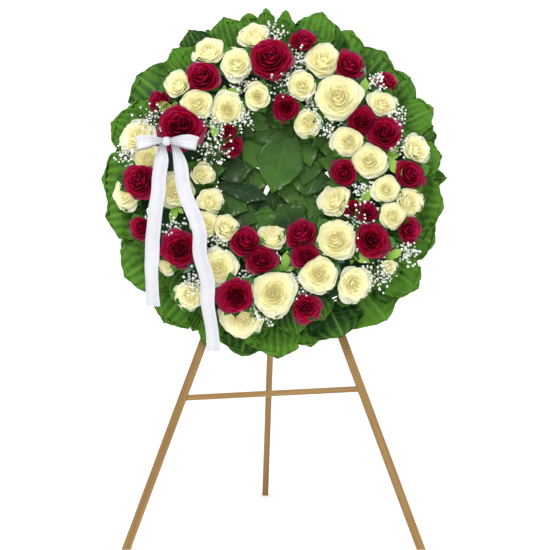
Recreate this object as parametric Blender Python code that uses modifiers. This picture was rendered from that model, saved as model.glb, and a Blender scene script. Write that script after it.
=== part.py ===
"""Standing funeral wreath: roses, leaves and baby's breath in a foam ring, on a folding wooden easel.

Metres, +Z up.  The wreath faces -Y, and the origin is on the floor under the middle of the object.
Places on the wreath are (across, up, out) from the middle of the ring's back, in millimetres.
"""
import math
from dataclasses import dataclass

import bmesh
import bpy
import numpy as np
from mathutils import Matrix, Vector

MM = 0.001
GAP = 0.0003            # clearance between touching pieces

# Easel: heights are measured along the leaning plane of the front legs.
LEAN = math.radians(10.0)
FRONT_LINE_Y = -0.262   # line on the floor under the front legs
FOOT_SPREAD = 0.640     # between the front legs' centrelines on the floor
APEX_HEIGHT = 0.874     # where those centrelines would meet
LEG_WIDTH = 0.018
LEG_THICK = 0.012
POST_BOTTOM = 0.765
POST_TOP = 1.020
BAR_LEFT = 0.328        # the crossbar's two ends; it is nailed a little askew
BAR_RIGHT = 0.347
BAR_WIDTH = 0.0125
BAR_THICK = 0.009
PEG_RADIUS = 0.005
PEG_SINK = 0.008
PEG_REACH = 0.030
BACK_FOOT_X = -0.022
BACK_FOOT_Y = 0.563     # behind the front line
BACK_HEAD_X = 0.010
BACK_WIDTH = 0.015
BACK_DEPTH = 0.018

# Hinge between the post and the back leg
HINGE_HEIGHT = 0.955
HINGE_X = 0.004         # between the post's middle and the back leg's
HINGE_WIDTH = 0.026
HINGE_LEAF = 0.022
HINGE_PLATE = 0.0015
KNUCKLE_RADIUS = 0.003
PIN_RADIUS = 0.0013

# Foam ring and its tray
WREATH_HEIGHT = 0.798   # middle of the ring, along the leaning plane
FOAM_INNER = 0.1743
FOAM_OUTER = 0.2807
FOAM_DEPTH = 0.050
TRAY_INNER = 0.172
TRAY_OUTER = 0.283
TRAY_WALL = 0.002
TRAY_RIM = 0.014
RING_STEPS = 24

# Flowers
BAND_MIDDLE = 229.0     # radius of the middle of the band of flowers, mm
BAND_HALF = 112.0
CROWN_RISE = 34.0       # how far the band stands up at its middle
CROWN_BASE = 74.0
EDGE_TILT = math.radians(52.0)
STEM_RADIUS = 2.0
ROOT_RADIUS = 3.4
ROOT_DEPTH = 18.0
SIDE_DEPTH = 12.0       # of the holes in the ring's inner and outer sides
ROOT_INNER = 192.0
ROOT_OUTER = 263.0
ROOT_SPACING = 15.0
FULLNESS = 1.14         # a rose's own width over what shows of it between its neighbours
SMALL_ROSE = 40.0       # half width under which a rose has fewer petals
NECK = 0.60             # from a rose's middle back to its stem, over its half width
FLOOR_OUT = 53.0        # no flower reaches below this, where the leaves begin
PRESS = 6.0             # how sharply a bloom flattens against its neighbour
BLOOM_GAP = 0.25
BLADE = 0.9             # leaf thickness, mm
TWIG_RADIUS = 2.2
MIDRIB = 1.2            # a small leaf's midrib, which the heads keep clear of
LEAF_LOBES = 5
LEAF_RISE = 1.5         # of a small leaf's middle over its edge
LARGEST_SCRAP = 20      # faces; a larger loose piece is reported

# Ribbon
RIBBON_WIDTH = 31.0
RIBBON_THICK = 1.0
KNOT = (-229.0, 77.0, 148.0)
PINCHED_WIDTH = 10.0    # of a tail where the knot grips it
TAIL_BEHIND = 7.6       # from the knot's middle back to the tails' tops
PICK_RADIUS = 1.4       # wire that holds the bow


@dataclass
class Bloom:
    """A rose: its place on the wreath, its width and how far it stands out of the band."""
    across: float
    up: float
    width: float
    lift: float = 0.0


@dataclass
class Sprig:
    """A small leaf among the roses, pointing at a compass heading in degrees (0 up, 90 right)."""
    across: float
    up: float
    length: float
    heading: float


CREAM_SPRAYS = {
    "cream_roses_top_left": ((Bloom(-143, 284, 66), Bloom(-81, 255, 64, 4), Bloom(-42, 319, 64, -4)), ()),
    "cream_roses_upper_left": (
        (Bloom(-209, 209, 57), Bloom(-167, 165, 64, 4)), (Sprig(-235, 158, 50, -65),)),
    "cream_roses_inner_top_left": (
        (Bloom(-99, 152, 64), Bloom(-35, 180, 57, 6)), (Sprig(-92, 191, 46, 75), Sprig(-128, 108, 40, 180))),
    "cream_roses_left": (
        (Bloom(-299, 92, 66), Bloom(-277, 46, 62, -8), Bloom(-321, -29, 59, -14)), ()),
    "cream_roses_inner_left": ((Bloom(-156, 11, 51, -6), Bloom(-211, -24, 70, -8)), (Sprig(-216, -77, 40, 200),)),
    "cream_roses_top_right": ((Bloom(108, 264, 73), Bloom(141, 178, 92, 10)), (Sprig(198, 204, 42, 10),)),
    "cream_roses_inner_top_right": ((Bloom(62, 205, 59), Bloom(73, 123, 55, -4)), ()),
    "cream_roses_upper_right": ((Bloom(238, 165, 55), Bloom(310, 64, 59)), (Sprig(257, 62, 38, 60),)),
    "cream_roses_right": ((Bloom(161, 81, 62, 2), Bloom(207, 37, 70, 4)), (Sprig(262, 28, 56, 140),)),
    "cream_roses_lower_right": (
        (Bloom(244, -24, 53, 2), Bloom(262, -86, 55), Bloom(295, -51, 57, -2)), (Sprig(200, -40, 46, 20),)),
    "cream_roses_inner_lower_left": (
        (Bloom(-134, -48, 51), Bloom(-145, -97, 53, -2), Bloom(-103, -106, 55, 2)), ()),
    "cream_roses_bottom": (
        (Bloom(-70, -301, 75, -6), Bloom(0, -251, 84, 10), Bloom(-4, -125, 59, -2)), (Sprig(26, -180, 46, 10),)),
    "cream_roses_lower_left": (
        (Bloom(-119, -194, 70, 2), Bloom(-183, -257, 53, -8), Bloom(-229, -187, 40, -10)), ()),
    "cream_roses_inner_right": ((Bloom(132, -46, 64), Bloom(134, -134, 79, 6)), (Sprig(187, -172, 46, 120),)),
    "cream_roses_bottom_right": (
        (Bloom(97, -209, 73, 8), Bloom(172, -231, 64), Bloom(249, -194, 35, -4)), (Sprig(260, -165, 42, 60),)),
}

RED_SPRAYS = {
    "red_roses_top": ((Bloom(-7, 266, 84, 12), Bloom(66, 308, 53)), ()),
    "red_rose_upper_left": ((Bloom(-156, 224, 68, 6),), ()),
    "red_roses_left": ((Bloom(-251, 176, 44, -10), Bloom(-202, 114, 84, 8)), ()),
    "red_roses_inner_left": ((Bloom(-97, 106, 35, -6), Bloom(-88, 73, 42, -4)), ()),
    "red_rose_far_left": ((Bloom(-293, -7, 70, 6),), ()),
    "red_roses_upper_right": ((Bloom(165, 253, 62, 4), Bloom(249, 218, 44)), ()),
    "red_rose_inner_top": ((Bloom(26, 156, 55),), ()),
    "red_roses_right": ((Bloom(191, 128, 59), Bloom(242, 99, 68, 6)), ()),
    "red_roses_inner_right": (
        (Bloom(150, 13, 55, 2), Bloom(167, -64, 37, -6), Bloom(202, -75, 42, -4), Bloom(211, -136, 68, 6)), ()),
    "red_roses_far_right": ((Bloom(297, 9, 59), Bloom(288, -108, 51)), ()),
    "red_roses_lower_left": ((Bloom(-288, -108, 44), Bloom(-205, -156, 70, 4)), ()),
    "red_roses_inner_bottom": ((Bloom(-59, -136, 62, 4), Bloom(-26, -176, 59, 2)), ()),
    "red_rose_bottom": ((Bloom(-81, -264, 70, 12),), ()),
    "red_roses_inner_lower_right": ((Bloom(59, -119, 64, 4), Bloom(68, -167, 53, 4)), ()),
    "red_rose_bottom_right": ((Bloom(70, -284, 53),), ()),
}

# Baby's breath: (across, up, radius) of each tuft, and eucalyptus leaves, on one spray to a node
FILLERS = {
    "filler_spray_upper_left": (
        ((-268, 125, 26), (-319, 55, 18), (-136, 125, 22), (-132, 66, 30)),
        (Sprig(-262, -52, 36, 200),)),
    "filler_spray_top": (
        ((-70, 213, 22), (-70, 136, 22), (0, 319, 24), (55, 264, 20), (20, 213, 28)), ()),
    "filler_spray_upper_right": (
        ((84, 167, 18), (117, 114, 24), (227, 213, 18), (266, 141, 18)),
        (Sprig(191, 231, 40, 30), Sprig(152, 134, 40, 160))),
    "filler_spray_right": (
        ((271, 77, 20), (194, -24, 18), (183, -99, 34), (290, -161, 20)), ()),
    "filler_spray_bottom_right": (
        ((227, -209, 28), (53, -235, 26), (-22, -288, 28)),
        (Sprig(132, -196, 52, 170), Sprig(103, -165, 34, 200))),
    "filler_spray_bottom_left": (
        ((-213, -112, 20), (-169, -222, 22), (-121, -145, 18), (-59, -221, 18)),
        (Sprig(-180, -189, 42, 215),)),
}
FLORETS_PER_TUFT = 3
FLORET_RADIUS = 4.2

# Collar leaves: (clock angle in degrees, tip radius, width, cut), cut being the depth of the torn edge
COLLAR_LEAVES = (
    (4.0, 388, 30, 4), (15.5, 392, 66, 6), (26.5, 386, 78, 6), (40.0, 384, 84, 8), (51.5, 390, 96, 9),
    (64.5, 392, 62, 5), (72.5, 380, 52, 6), (80.5, 376, 62, 6), (87.5, 384, 34, 3), (98.0, 378, 92, 9),
    (110.0, 378, 88, 8), (126.5, 392, 78, 8), (140.5, 390, 100, 10), (156.0, 370, 104, 9), (167.0, 368, 60, 8),
    (178.5, 386, 74, 10), (190.5, 386, 82, 6), (203.0, 386, 38, 4), (218.5, 388, 92, 7), (229.0, 350, 60, 5),
    (238.0, 386, 102, 9), (258.5, 376, 92, 8), (272.0, 380, 106, 9), (290.5, 384, 80, 7), (309.0, 392, 106, 10),
    (323.5, 374, 58, 5), (331.5, 394, 60, 4), (343.5, 382, 64, 6), (351.5, 384, 52, 5), (357.5, 384, 30, 3),
)
COLLAR_SECTORS = 6
COLLAR_TWIG_RADIUS = 289.0
COLLAR_TWIG_OUT = 28.0
COLLAR_LAYER = 13.0     # even leaves lie this far behind the twig, odd ones as far in front

# Leaves across the ring's hole: layer out, root clock angle and leaves (base, tip, width, cut)
CENTRE_LEAVES = {
    "centre_leaves_top": (47.5, 24.0, (
        ((34, 126), (-4, -26), 96, 7), ((62, 118), (-66, 97), 34, 2), ((60, 120), (82, 34), 50, 3))),
    "centre_leaves_left": (41.5, 268.0, (
        ((-128, 20), (-44, 36), 56, 5), ((-126, -2), (-6, -36), 40, 3), ((-122, -24), (-56, -62), 62, 6))),
    "centre_leaves_right": (36.0, 96.0, (
        ((128, 30), (82, 92), 44, 4), ((126, 6), (30, 10), 66, 5), ((124, -16), (78, -22), 34, 2))),
    "centre_leaves_bottom": (31.0, 160.0, (
        ((58, -118), (10, -44), 84, 9), ((30, -128), (-48, -66), 52, 4))),
}


def unit(vector):
    """The vector at length one."""
    vector = np.asarray(vector, float)
    return vector / np.linalg.norm(vector)


def place(across, up, out):
    """A point on the wreath, in the wreath's own axes: across is +X, up is +Z and out is -Y."""
    return np.array([across, -out, up], float)


def clock(angle, radius, out):
    """A point on the wreath by its clock angle in degrees (0 at the top, 90 at the right)."""
    turn = math.radians(angle)
    return place(radius * math.sin(turn), radius * math.cos(turn), out)


def clear_scene():
    """Remove every object, so that the model starts from nothing."""
    for item in list(bpy.data.objects):
        bpy.data.objects.remove(item, do_unlink=True)


def new_collection(name):
    """A collection linked to the scene."""
    group = bpy.data.collections.new(name)
    bpy.context.scene.collection.children.link(group)
    return group


def finish(name, colour, roughness, metallic=0.0):
    """A Principled material."""
    material = bpy.data.materials.new(name)
    material.use_nodes = True
    shader = material.node_tree.nodes["Principled BSDF"]
    shader.inputs["Base Color"].default_value = (*colour, 1.0)
    shader.inputs["Roughness"].default_value = roughness
    shader.inputs["Metallic"].default_value = metallic
    material.diffuse_color = (*colour, 1.0)
    return material


def add_object(name, mesh, material, group, parent=None):
    """An object of a mesh with its material, in a collection and under a parent."""
    item = bpy.data.objects.new(name, mesh)
    if material:
        mesh.materials.clear()
        mesh.materials.append(material)
    group.objects.link(item)
    item.parent = parent
    return item


def signed_volume(points, faces):
    """Six times the volume inside a closed surface, above zero when its faces point out."""
    total = 0.0
    for face in faces:
        first = points[face[0]]
        for second, third in zip(face[1:-1], face[2:]):
            total += float(np.dot(first, np.cross(points[second], points[third])))
    return total


def shell(points, faces):
    """A closed surface as points and faces, turned to face outwards."""
    points = np.asarray(points, float)
    middle = points.mean(axis=0)
    if signed_volume(points - middle, faces) < 0:
        faces = [tuple(reversed(face)) for face in faces]
    return points, faces


def shell_mesh(name, points, faces):
    """A mesh in metres from a closed surface in millimetres."""
    mesh = bpy.data.meshes.new(name)
    mesh.from_pydata([tuple(point * MM) for point in points], [], faces)
    mesh.validate()
    return mesh


def tube(path, radii, sides=4):
    """A capped tube along a path, with a radius at each point."""
    path = [np.asarray(point, float) for point in path]
    points = []
    normal = None
    for index, point in enumerate(path):
        before = path[max(index - 1, 0)]
        after = path[min(index + 1, len(path) - 1)]
        along = unit(after - before)
        if normal is None:
            normal = unit(np.cross(along, (0.31, 0.87, 0.39)))
        normal = unit(normal - along * float(normal @ along))
        side = np.cross(along, normal)
        for turn in np.arange(sides) * 2 * math.pi / sides:
            points.append(point + radii[index] * (math.cos(turn) * normal + math.sin(turn) * side))
    faces = [tuple(range(sides)), tuple(range(len(points) - sides, len(points)))[::-1]]
    for ring in range(len(path) - 1):
        for step in range(sides):
            other = (step + 1) % sides
            low, high = ring * sides, (ring + 1) * sides
            faces.append((low + other, low + step, high + step, high + other))
    return shell(points, faces)


def blade(base, tip, face, width, cut=0.0, bend=0.0, pleat=0.0, rows=4, columns=5, press=None):
    """A leaf blade of even thickness from base to tip.

    The half-width swells from the base to two thirds of the length, the outline is cut by the teeth of
    its outer rows, the surface bends along the leaf and is pleated across it, and both faces are split
    into the same triangles.
    """
    base, tip = np.asarray(base, float), np.asarray(tip, float)
    length = np.linalg.norm(tip - base)
    along = (tip - base) / length
    face = unit(np.asarray(face, float) - along * float(np.dot(face, along)))
    side = np.cross(along, face)
    middle = []
    for row in range(rows):
        part = row / (rows - 1)
        swell = math.sin(math.pi * (0.02 + (0.80 if cut else 0.92) * part ** 0.85))
        for column in range(columns):
            offset = 2 * column / (columns - 1) - 1
            tooth = cut * (1 if (row + column) % 2 else -1) * (0.35 if row < rows - 1 else 1.0)
            tooth *= part if abs(offset) == 1 or row == rows - 1 else 0.0
            rounding = 0.16 * length * offset ** 2 * part ** 2
            reach = part * length - rounding + (tooth if row == rows - 1 else 0.0)
            wide = offset * (0.5 * width * swell + (tooth if row < rows - 1 else 0.0))
            rise = bend * part ** 2 + pleat * part * (1 if column % 2 else -1)
            middle.append(base + along * reach + side * wide + face * rise)
    middle = np.array(middle)
    if press is not None:
        middle = press(middle)
    points = np.vstack([middle + face * BLADE / 2, middle - face * BLADE / 2])
    count = rows * columns
    faces = []
    for row in range(rows - 1):
        for column in range(columns - 1):
            a = row * columns + column
            b, c, d = a + 1, a + columns + 1, a + columns
            for triangle in ((a, b, c), (a, c, d)):
                faces.append(triangle)
                faces.append(tuple(count + corner for corner in reversed(triangle)))
    rim = [column for column in range(columns)]
    rim += [row * columns + columns - 1 for row in range(1, rows)]
    rim += [(rows - 1) * columns + column for column in range(columns - 2, -1, -1)]
    rim += [row * columns for row in range(rows - 2, 0, -1)]
    for first, second in zip(rim, rim[1:] + rim[:1]):
        faces.append((second, first, count + first, count + second))
    return shell(points, faces)


def keep_main_body(mesh):
    """Drop the loose scraps and sealed hollows that a union leaves, keeping the largest body."""
    work = bmesh.new()
    work.from_mesh(mesh)
    work.faces.ensure_lookup_table()
    seen, bodies = set(), []
    for face in work.faces:
        if face.index in seen:
            continue
        body, open_faces = [], [face]
        seen.add(face.index)
        while open_faces:
            current = open_faces.pop()
            body.append(current)
            for edge in current.edges:
                for beside in edge.link_faces:
                    if beside.index not in seen:
                        seen.add(beside.index)
                        open_faces.append(beside)
        bodies.append(body)
    bodies.sort(key=len)
    for body in bodies[:-1]:
        if len(body) > LARGEST_SCRAP:
            print(f"{mesh.name}: a loose piece of {len(body)} faces was dropped")
        bmesh.ops.delete(work, geom=body, context="FACES")
    work.to_mesh(mesh)
    work.free()


def fuse(name, shells, material, group, parent):
    """One Boolean union of a node's closed surfaces, applied; the collection's objects are removed."""
    pile = new_collection(f"{name}_pieces")
    base = add_object(name, shell_mesh(name, *shells[0]), material, group, parent)
    for index, piece in enumerate(shells[1:]):
        add_object(f"{name}_{index}", shell_mesh(name, *piece), None, pile)
    if len(shells) > 1:
        union = base.modifiers.new("fuse", "BOOLEAN")
        union.operation = "UNION"
        union.operand_type = "COLLECTION"
        union.collection = pile
        union.solver = "MANIFOLD"
        parent_kept, base.parent = base.parent, None
        bpy.context.view_layer.update()
        joined = bpy.data.meshes.new_from_object(base.evaluated_get(bpy.context.evaluated_depsgraph_get()))
        base.modifiers.clear()
        base.parent = parent_kept
        old, base.data = base.data, joined
        bpy.data.meshes.remove(old)
        keep_main_body(joined)
        joined.materials.clear()
        joined.materials.append(material)
    for item in list(pile.objects):
        bpy.data.objects.remove(item, do_unlink=True)
    bpy.data.collections.remove(pile)
    return base


def nearest_on_segments(point, starts, ends):
    """The nearest point to a point on each of many segments."""
    along = ends - starts
    part = np.einsum("ij,ij->i", point - starts, along) / np.maximum(np.einsum("ij,ij->i", along, along), 1e-9)
    return starts + along * np.clip(part, 0, 1)[:, None]


def segment_gap(start, end, starts, ends):
    """The least distance from one segment to each of many, by sampling the one closely."""
    best = np.full(len(starts), np.inf)
    for part in np.linspace(0, 1, 17):
        point = start + (end - start) * part
        best = np.minimum(best, np.linalg.norm(nearest_on_segments(point, starts, ends) - point, axis=1))
    return best


def press_inside(points, middle, walls):
    """Draw points in along their rays from a middle, so that each stays inside every flat wall."""
    ray = points - middle
    length = np.maximum(np.linalg.norm(ray, axis=1), 1e-6)
    ray = ray / length[:, None]
    reach = np.full(len(points), 1e6)
    for normal, distance in walls:
        along = ray @ normal
        reach = np.where(along > 1e-6, np.minimum(reach, distance / np.maximum(along, 1e-6)), reach)
    length = length / (1 + (length / reach) ** PRESS) ** (1 / PRESS)
    return middle + ray * length[:, None]


class Head:
    """A bloom's head: its middle, half width and facing, and the flat walls that it is pressed against."""

    def __init__(self, bloom, node):
        self.node = node
        self.radius = FULLNESS * bloom.width / 2
        reach = math.hypot(bloom.across, bloom.up)
        part = max(-1.0, min(1.0, (reach - BAND_MIDDLE) / BAND_HALF))
        out = CROWN_BASE + CROWN_RISE * math.sqrt(1 - 0.9 * part * part) + bloom.lift - 0.12 * self.radius
        self.middle = place(bloom.across, bloom.up, out)
        radial = place(bloom.across / reach, bloom.up / reach, 0)
        tilt = EDGE_TILT * part * abs(part) ** 0.5
        self.facing = math.sin(tilt) * radial + math.cos(tilt) * place(0, 0, 1)
        self.walls = []

    @property
    def base(self):
        """Where the stem meets the head."""
        return self.middle - self.facing * NECK * self.radius

    def surface(self, turn, stem):
        """The rose as one surface: rings of petals from the bud's tip out to the rim, under it and down its stem."""
        layers, petals = ((0.32, 0.46, 0.05), (0.46, 0.20, 0.03), (0.72, 0.36, 0.09), (1.0, 0.04, 0.08)), 5
        if self.radius < SMALL_ROSE:
            layers, petals = ((0.38, 0.46, 0.05), (0.58, 0.20, 0.04), (1.0, 0.14, 0.07)), 4
        under = ((0.56, -0.42, 0.03),)
        sides = 2 * petals
        side = unit(np.cross(self.facing, (0.21, 0.13, 0.97)))
        other = np.cross(side, self.facing)
        points = [self.middle + self.facing * self.radius * 0.52]
        for level, (spread, height, lobe) in enumerate(layers + under):
            for step in range(sides):
                angle = 2 * math.pi * step / sides
                crest = math.cos(petals * angle - math.pi * (level // 2))
                ring = self.radius * (spread - lobe * (1 - crest))
                lift = self.radius * (height + 0.5 * lobe * crest)
                angle += turn
                points.append(self.middle + ring * (math.cos(angle) * side + math.sin(angle) * other)
                              + self.facing * lift)
        points = list(press_inside(np.array(points), self.middle, self.walls))
        faces = []
        rings = len(layers) + len(under)
        for step in range(sides):
            after = (step + 1) % sides
            faces.append((0, 1 + step, 1 + after))
            for ring in range(rings - 1):
                low, high = 1 + ring * sides, 1 + (ring + 1) * sides
                faces.append((low + after, low + step, high + step))
                faces.append((low + after, high + step, high + after))
        rim, neck = len(points) - sides, len(points)
        path = [self.base] + stem
        for index, point in enumerate(path):
            along = unit(path[min(index + 1, len(path) - 1)] - path[max(index - 1, 0)])
            side = unit(side - along * float(side @ along))
            second = np.cross(along, side)
            for step in range(petals):
                angle = turn + 2 * math.pi * (step + 0.25) / petals
                points.append(point + STEM_RADIUS * (math.cos(angle) * side + math.sin(angle) * second))
        for step in range(petals):
            low, high = rim + 2 * step, rim + (2 * step + 2) % sides
            bottom, after = neck + step, neck + (step + 1) % petals
            faces.extend(((low + 1, low, bottom), (high, low + 1, bottom), (high, bottom, after)))
            for ring in range(len(path) - 1):
                a, b = neck + ring * petals + step, neck + ring * petals + (step + 1) % petals
                faces.extend(((b, a, a + petals), (b, a + petals, b + petals)))
        faces.append(tuple(reversed(range(len(points) - petals, len(points)))))
        return shell(points, faces)


class Arrangement:
    """Every spray of the wreath: roots in the foam, stems that pass each other, and heads between them."""

    def __init__(self):
        self.heads = {}
        self.roots = {}
        self.lines = []         # node, start, end, radius
        self.tufts = {}
        for name, (blooms, _) in {**CREAM_SPRAYS, **RED_SPRAYS}.items():
            self.heads[name] = [Head(bloom, name) for bloom in blooms]
        self.every_head = [head for heads in self.heads.values() for head in heads]
        self.centres = np.array([head.middle for head in self.every_head])
        self.spans = np.array([head.radius for head in self.every_head])
        self.settle_heads()
        self.choose_roots()
        self.route_stems()
        self.raise_tufts()
        self.build_walls()

    def settle_heads(self):
        """Push apart, mostly in depth, heads whose middles are nearer than their sizes allow."""
        for _ in range(60):
            for first in range(len(self.centres)):
                for second in range(first + 1, len(self.centres)):
                    apart = self.centres[second] - self.centres[first]
                    need = 0.72 * (self.spans[first] + self.spans[second])
                    distance = np.linalg.norm(apart)
                    if distance < need:
                        push = unit(apart * (0.35, 1.0, 0.35)) * (need - distance) * 0.15
                        self.centres[first] -= push
                        self.centres[second] += push
            self.centres[:, 1] = np.clip(self.centres[:, 1], -124.0, -(FLOOR_OUT + 12.0))
        for head, middle in zip(self.every_head, self.centres):
            head.middle = middle

    def choose_roots(self):
        """A root for each spray in the ring's face, near its flowers and clear of the other roots."""
        names, spots = [], []
        for name, heads in self.heads.items():
            names.append(name)
            spots.append(np.mean([head.middle for head in heads], axis=0))
        for name, (tufts, _) in FILLERS.items():
            names.append(name)
            spots.append(np.mean([place(across, up, 0) for across, up, _ in tufts], axis=0))
        names.append("ribbon_bow")
        spots.append(place(KNOT[0], KNOT[1], 0))
        spots = np.array(spots)
        spots[:, 1] = 0
        for _ in range(200):
            for first in range(len(spots)):
                for second in range(first + 1, len(spots)):
                    apart = spots[second] - spots[first]
                    distance = np.linalg.norm(apart)
                    if distance < ROOT_SPACING:
                        push = unit(apart + (0.01, 0, 0.02)) * (ROOT_SPACING - distance) * 0.5
                        spots[first] -= push
                        spots[second] += push
            reach = np.linalg.norm(spots, axis=1)
            spots *= (np.clip(reach, ROOT_INNER, ROOT_OUTER) / reach)[:, None]
        face = FOAM_DEPTH / MM
        for name, spot in zip(names, spots):
            self.roots[name] = place(spot[0], spot[2], face)

    def segments(self, node):
        """The stems of every other node, as arrays of starts, ends and radii."""
        others = [line for line in self.lines if line[0] != node]
        if not others:
            return np.zeros((0, 3)), np.zeros((0, 3)), np.zeros(0)
        return (np.array([line[1] for line in others]), np.array([line[2] for line in others]),
                np.array([line[3] for line in others]))

    def slack(self, node, path, radius, head=None):
        """The least clearance of a path from the other nodes' stems and from the hearts of other heads."""
        starts, ends, radii = self.segments(node)
        least = 99.0
        for start, end in zip(path[:-1], path[1:]):
            if len(starts):
                least = min(least, float((segment_gap(start, end, starts, ends) - radii).min()) - radius - 0.6)
            for other in self.every_head:
                if other is head or other.node == node:
                    continue
                close = nearest_on_segments(other.middle, start[None], end[None])[0]
                least = min(least, np.linalg.norm(close - other.middle) - radius - 0.62 * other.radius)
        return least

    def route(self, node, start, end, radius, head=None):
        """A path from start to end whose middle point is moved until it clears what is there already."""
        best = None
        middle = (start + end) / 2
        for shift in (0, 8, -8, 16, -16, 26, -26):
            for climb in (0, -8, 8, 16, -16):
                for swing in (0, 10, -10, 20, -20):
                    radial = unit(place(middle[0], middle[2], 0))
                    around = np.cross(radial, (0, 1, 0))
                    bend = middle + around * shift + radial * swing + place(0, 0, climb)
                    bend[1] = min(bend[1], -(FLOOR_OUT + 1.5))
                    path = [start, bend, end]
                    score = self.slack(node, path, radius, head)
                    if best is None or score > best[0] + 1e-6:
                        best = (score, path)
                    if score > 0.3:
                        break
                if best[0] > 0.3:
                    break
            if best[0] > 0.3:
                break
        for first, second in zip(best[1][:-1], best[1][1:]):
            self.lines.append((node, first, second, radius))
        return best[1]

    def collar_point(self, node):
        """Where a spray's stems part, just above the foam."""
        return self.roots[node] + place(0, 0, 4.5)

    def route_stems(self):
        """Every rose's stem, from the root's top to the head's base."""
        self.paths = {}
        for name, root in self.roots.items():
            if name in self.heads:
                self.lines.append((name, root, self.collar_point(name), ROOT_RADIUS))
        bow = self.roots["ribbon_bow"]
        knot = place(*KNOT)
        self.bow_path = [bow, bow + place(0, 0, 6.0), knot]
        for start, end in zip(self.bow_path[:-1], self.bow_path[1:]):
            self.lines.append(("ribbon_bow", start, end, PICK_RADIUS))
        for name, heads in self.heads.items():
            for head in heads:
                self.paths[id(head)] = self.route(name, self.collar_point(name), head.base, STEM_RADIUS, head)

    def push_clear(self, point, margin, share=1.0):
        """Move a point out of the heads near it."""
        for _ in range(8):
            for head in self.every_head:
                apart = point - head.middle
                distance = np.linalg.norm(apart)
                need = share * head.radius + margin
                if distance < need:
                    apart = unit(apart + place(0, 0, 6.0))
                    point = head.middle + apart * need
        return point

    def raise_tufts(self):
        """Baby's breath: a branch up to each tuft, and florets round its top."""
        for name, (tufts, _) in FILLERS.items():
            branches = []
            start = self.collar_point(name)
            for across, up, spread in tufts:
                crown = self.push_clear(place(across, up, 82.0), 2.5, 0.72)
                path = self.route(name, start, crown, 1.5)
                tips = []
                for index in range(FLORETS_PER_TUFT):
                    angle = math.pi / 2 * (index + 0.5) + 0.3 * math.sin(across + 2 * index) + across
                    reach = spread * (0.55 + 0.4 * ((index * 2 + int(abs(up))) % 3) / 2)
                    tip = crown + place(reach * math.cos(angle), reach * math.sin(angle), 16.0 + 5 * (index % 3))
                    tip = self.push_clear(tip, FLORET_RADIUS + 1.0, 0.92)
                    tips.append(tip)
                    self.lines.append((name, crown, tip, 0.9))
                    self.lines.append((name, tip, tip + place(0, 0, 0.1), FLORET_RADIUS))
                branches.append((path, tips))
            self.tufts[name] = branches

    def build_walls(self):
        """The walls that press each head: its neighbours, the stems that pass it and the leaves below."""
        for head in self.every_head:
            head.walls = self.walls_at(head.node, head.middle, head.radius, head)

    def walls_at(self, node, middle, radius, skip=None):
        """Walls round a thing of a given radius."""
        walls = [(place(0, 0, -1), -middle[1] - FLOOR_OUT)]
        for other in self.every_head:
            if other is skip or other.node == node:
                continue
            apart = other.middle - middle
            distance = np.linalg.norm(apart)
            if distance < radius + other.radius + 4:
                wall = (distance ** 2 + radius ** 2 - other.radius ** 2) / (2 * distance) - BLOOM_GAP
                walls.append((apart / distance, max(wall, 3.0)))
        starts, ends, radii = self.segments(node)
        near = nearest_on_segments(middle, starts, ends)
        for close, thick in zip(near, radii):
            apart = close - middle
            distance = np.linalg.norm(apart)
            if distance < radius * 1.3 + thick + 2:
                walls.append((apart / distance, max(distance - thick - 0.5, 2.0)))
        return walls

    def leaf_walls(self, node, base, tip):
        """Walls that keep a leaf on its own side of each near head, whose own wall meets the midrib."""
        walls = []
        middle = (base + tip) / 2
        for other in self.every_head:
            close = nearest_on_segments(other.middle, base[None], tip[None])[0]
            away = other.middle - close
            distance = np.linalg.norm(away)
            if other.node != node and distance < other.radius + 30.0:
                normal = away / distance
                walls.append((normal, float((close - middle) @ normal) + 0.75 * MIDRIB))
        return walls


def trunk(root):
    """A spray's root: a straight stem in its plain hole in the foam."""
    foot = root - place(0, 0, ROOT_DEPTH)
    return tube([foot, root + place(0, 0, 6.3)], [ROOT_RADIUS, ROOT_RADIUS], 5)


def small_leaf(centre, heading, length, walls):
    """A small leaf as a fan about its centre: an oval with a scalloped edge, pressed inside its walls.

    The corners move along their own rays only, so that the leaf stays one simple shape; its middle
    stands a little above its edge, and both faces are the same height apart everywhere.
    """
    face = unit(place(0, 0, 1) - heading * float(place(0, 0, 1) @ heading))
    side = np.cross(heading, face)
    corners = 2 * LEAF_LOBES
    outline = []
    for corner in range(corners):
        angle = 2 * math.pi * corner / corners
        scallop = 1.0 if corner % 2 == 0 else 0.88
        outline.append(centre + scallop * length * (0.5 * math.cos(angle) * heading
                                                    + 0.23 * math.sin(angle) * side))
    outline = press_inside(np.array(outline), centre, walls)
    points = [centre + face * (LEAF_RISE + BLADE / 2), centre + face * (LEAF_RISE - BLADE / 2)]
    points.extend(outline + face * BLADE / 2)
    points.extend(outline - face * BLADE / 2)
    faces = []
    for corner in range(corners):
        first, second = 2 + corner, 2 + (corner + 1) % corners
        faces.append((0, first, second))
        faces.append((1, second + corners, first + corners))
        faces.append((second, first, first + corners))
        faces.append((second, first + corners, second + corners))
    return shell(points, faces)


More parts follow.
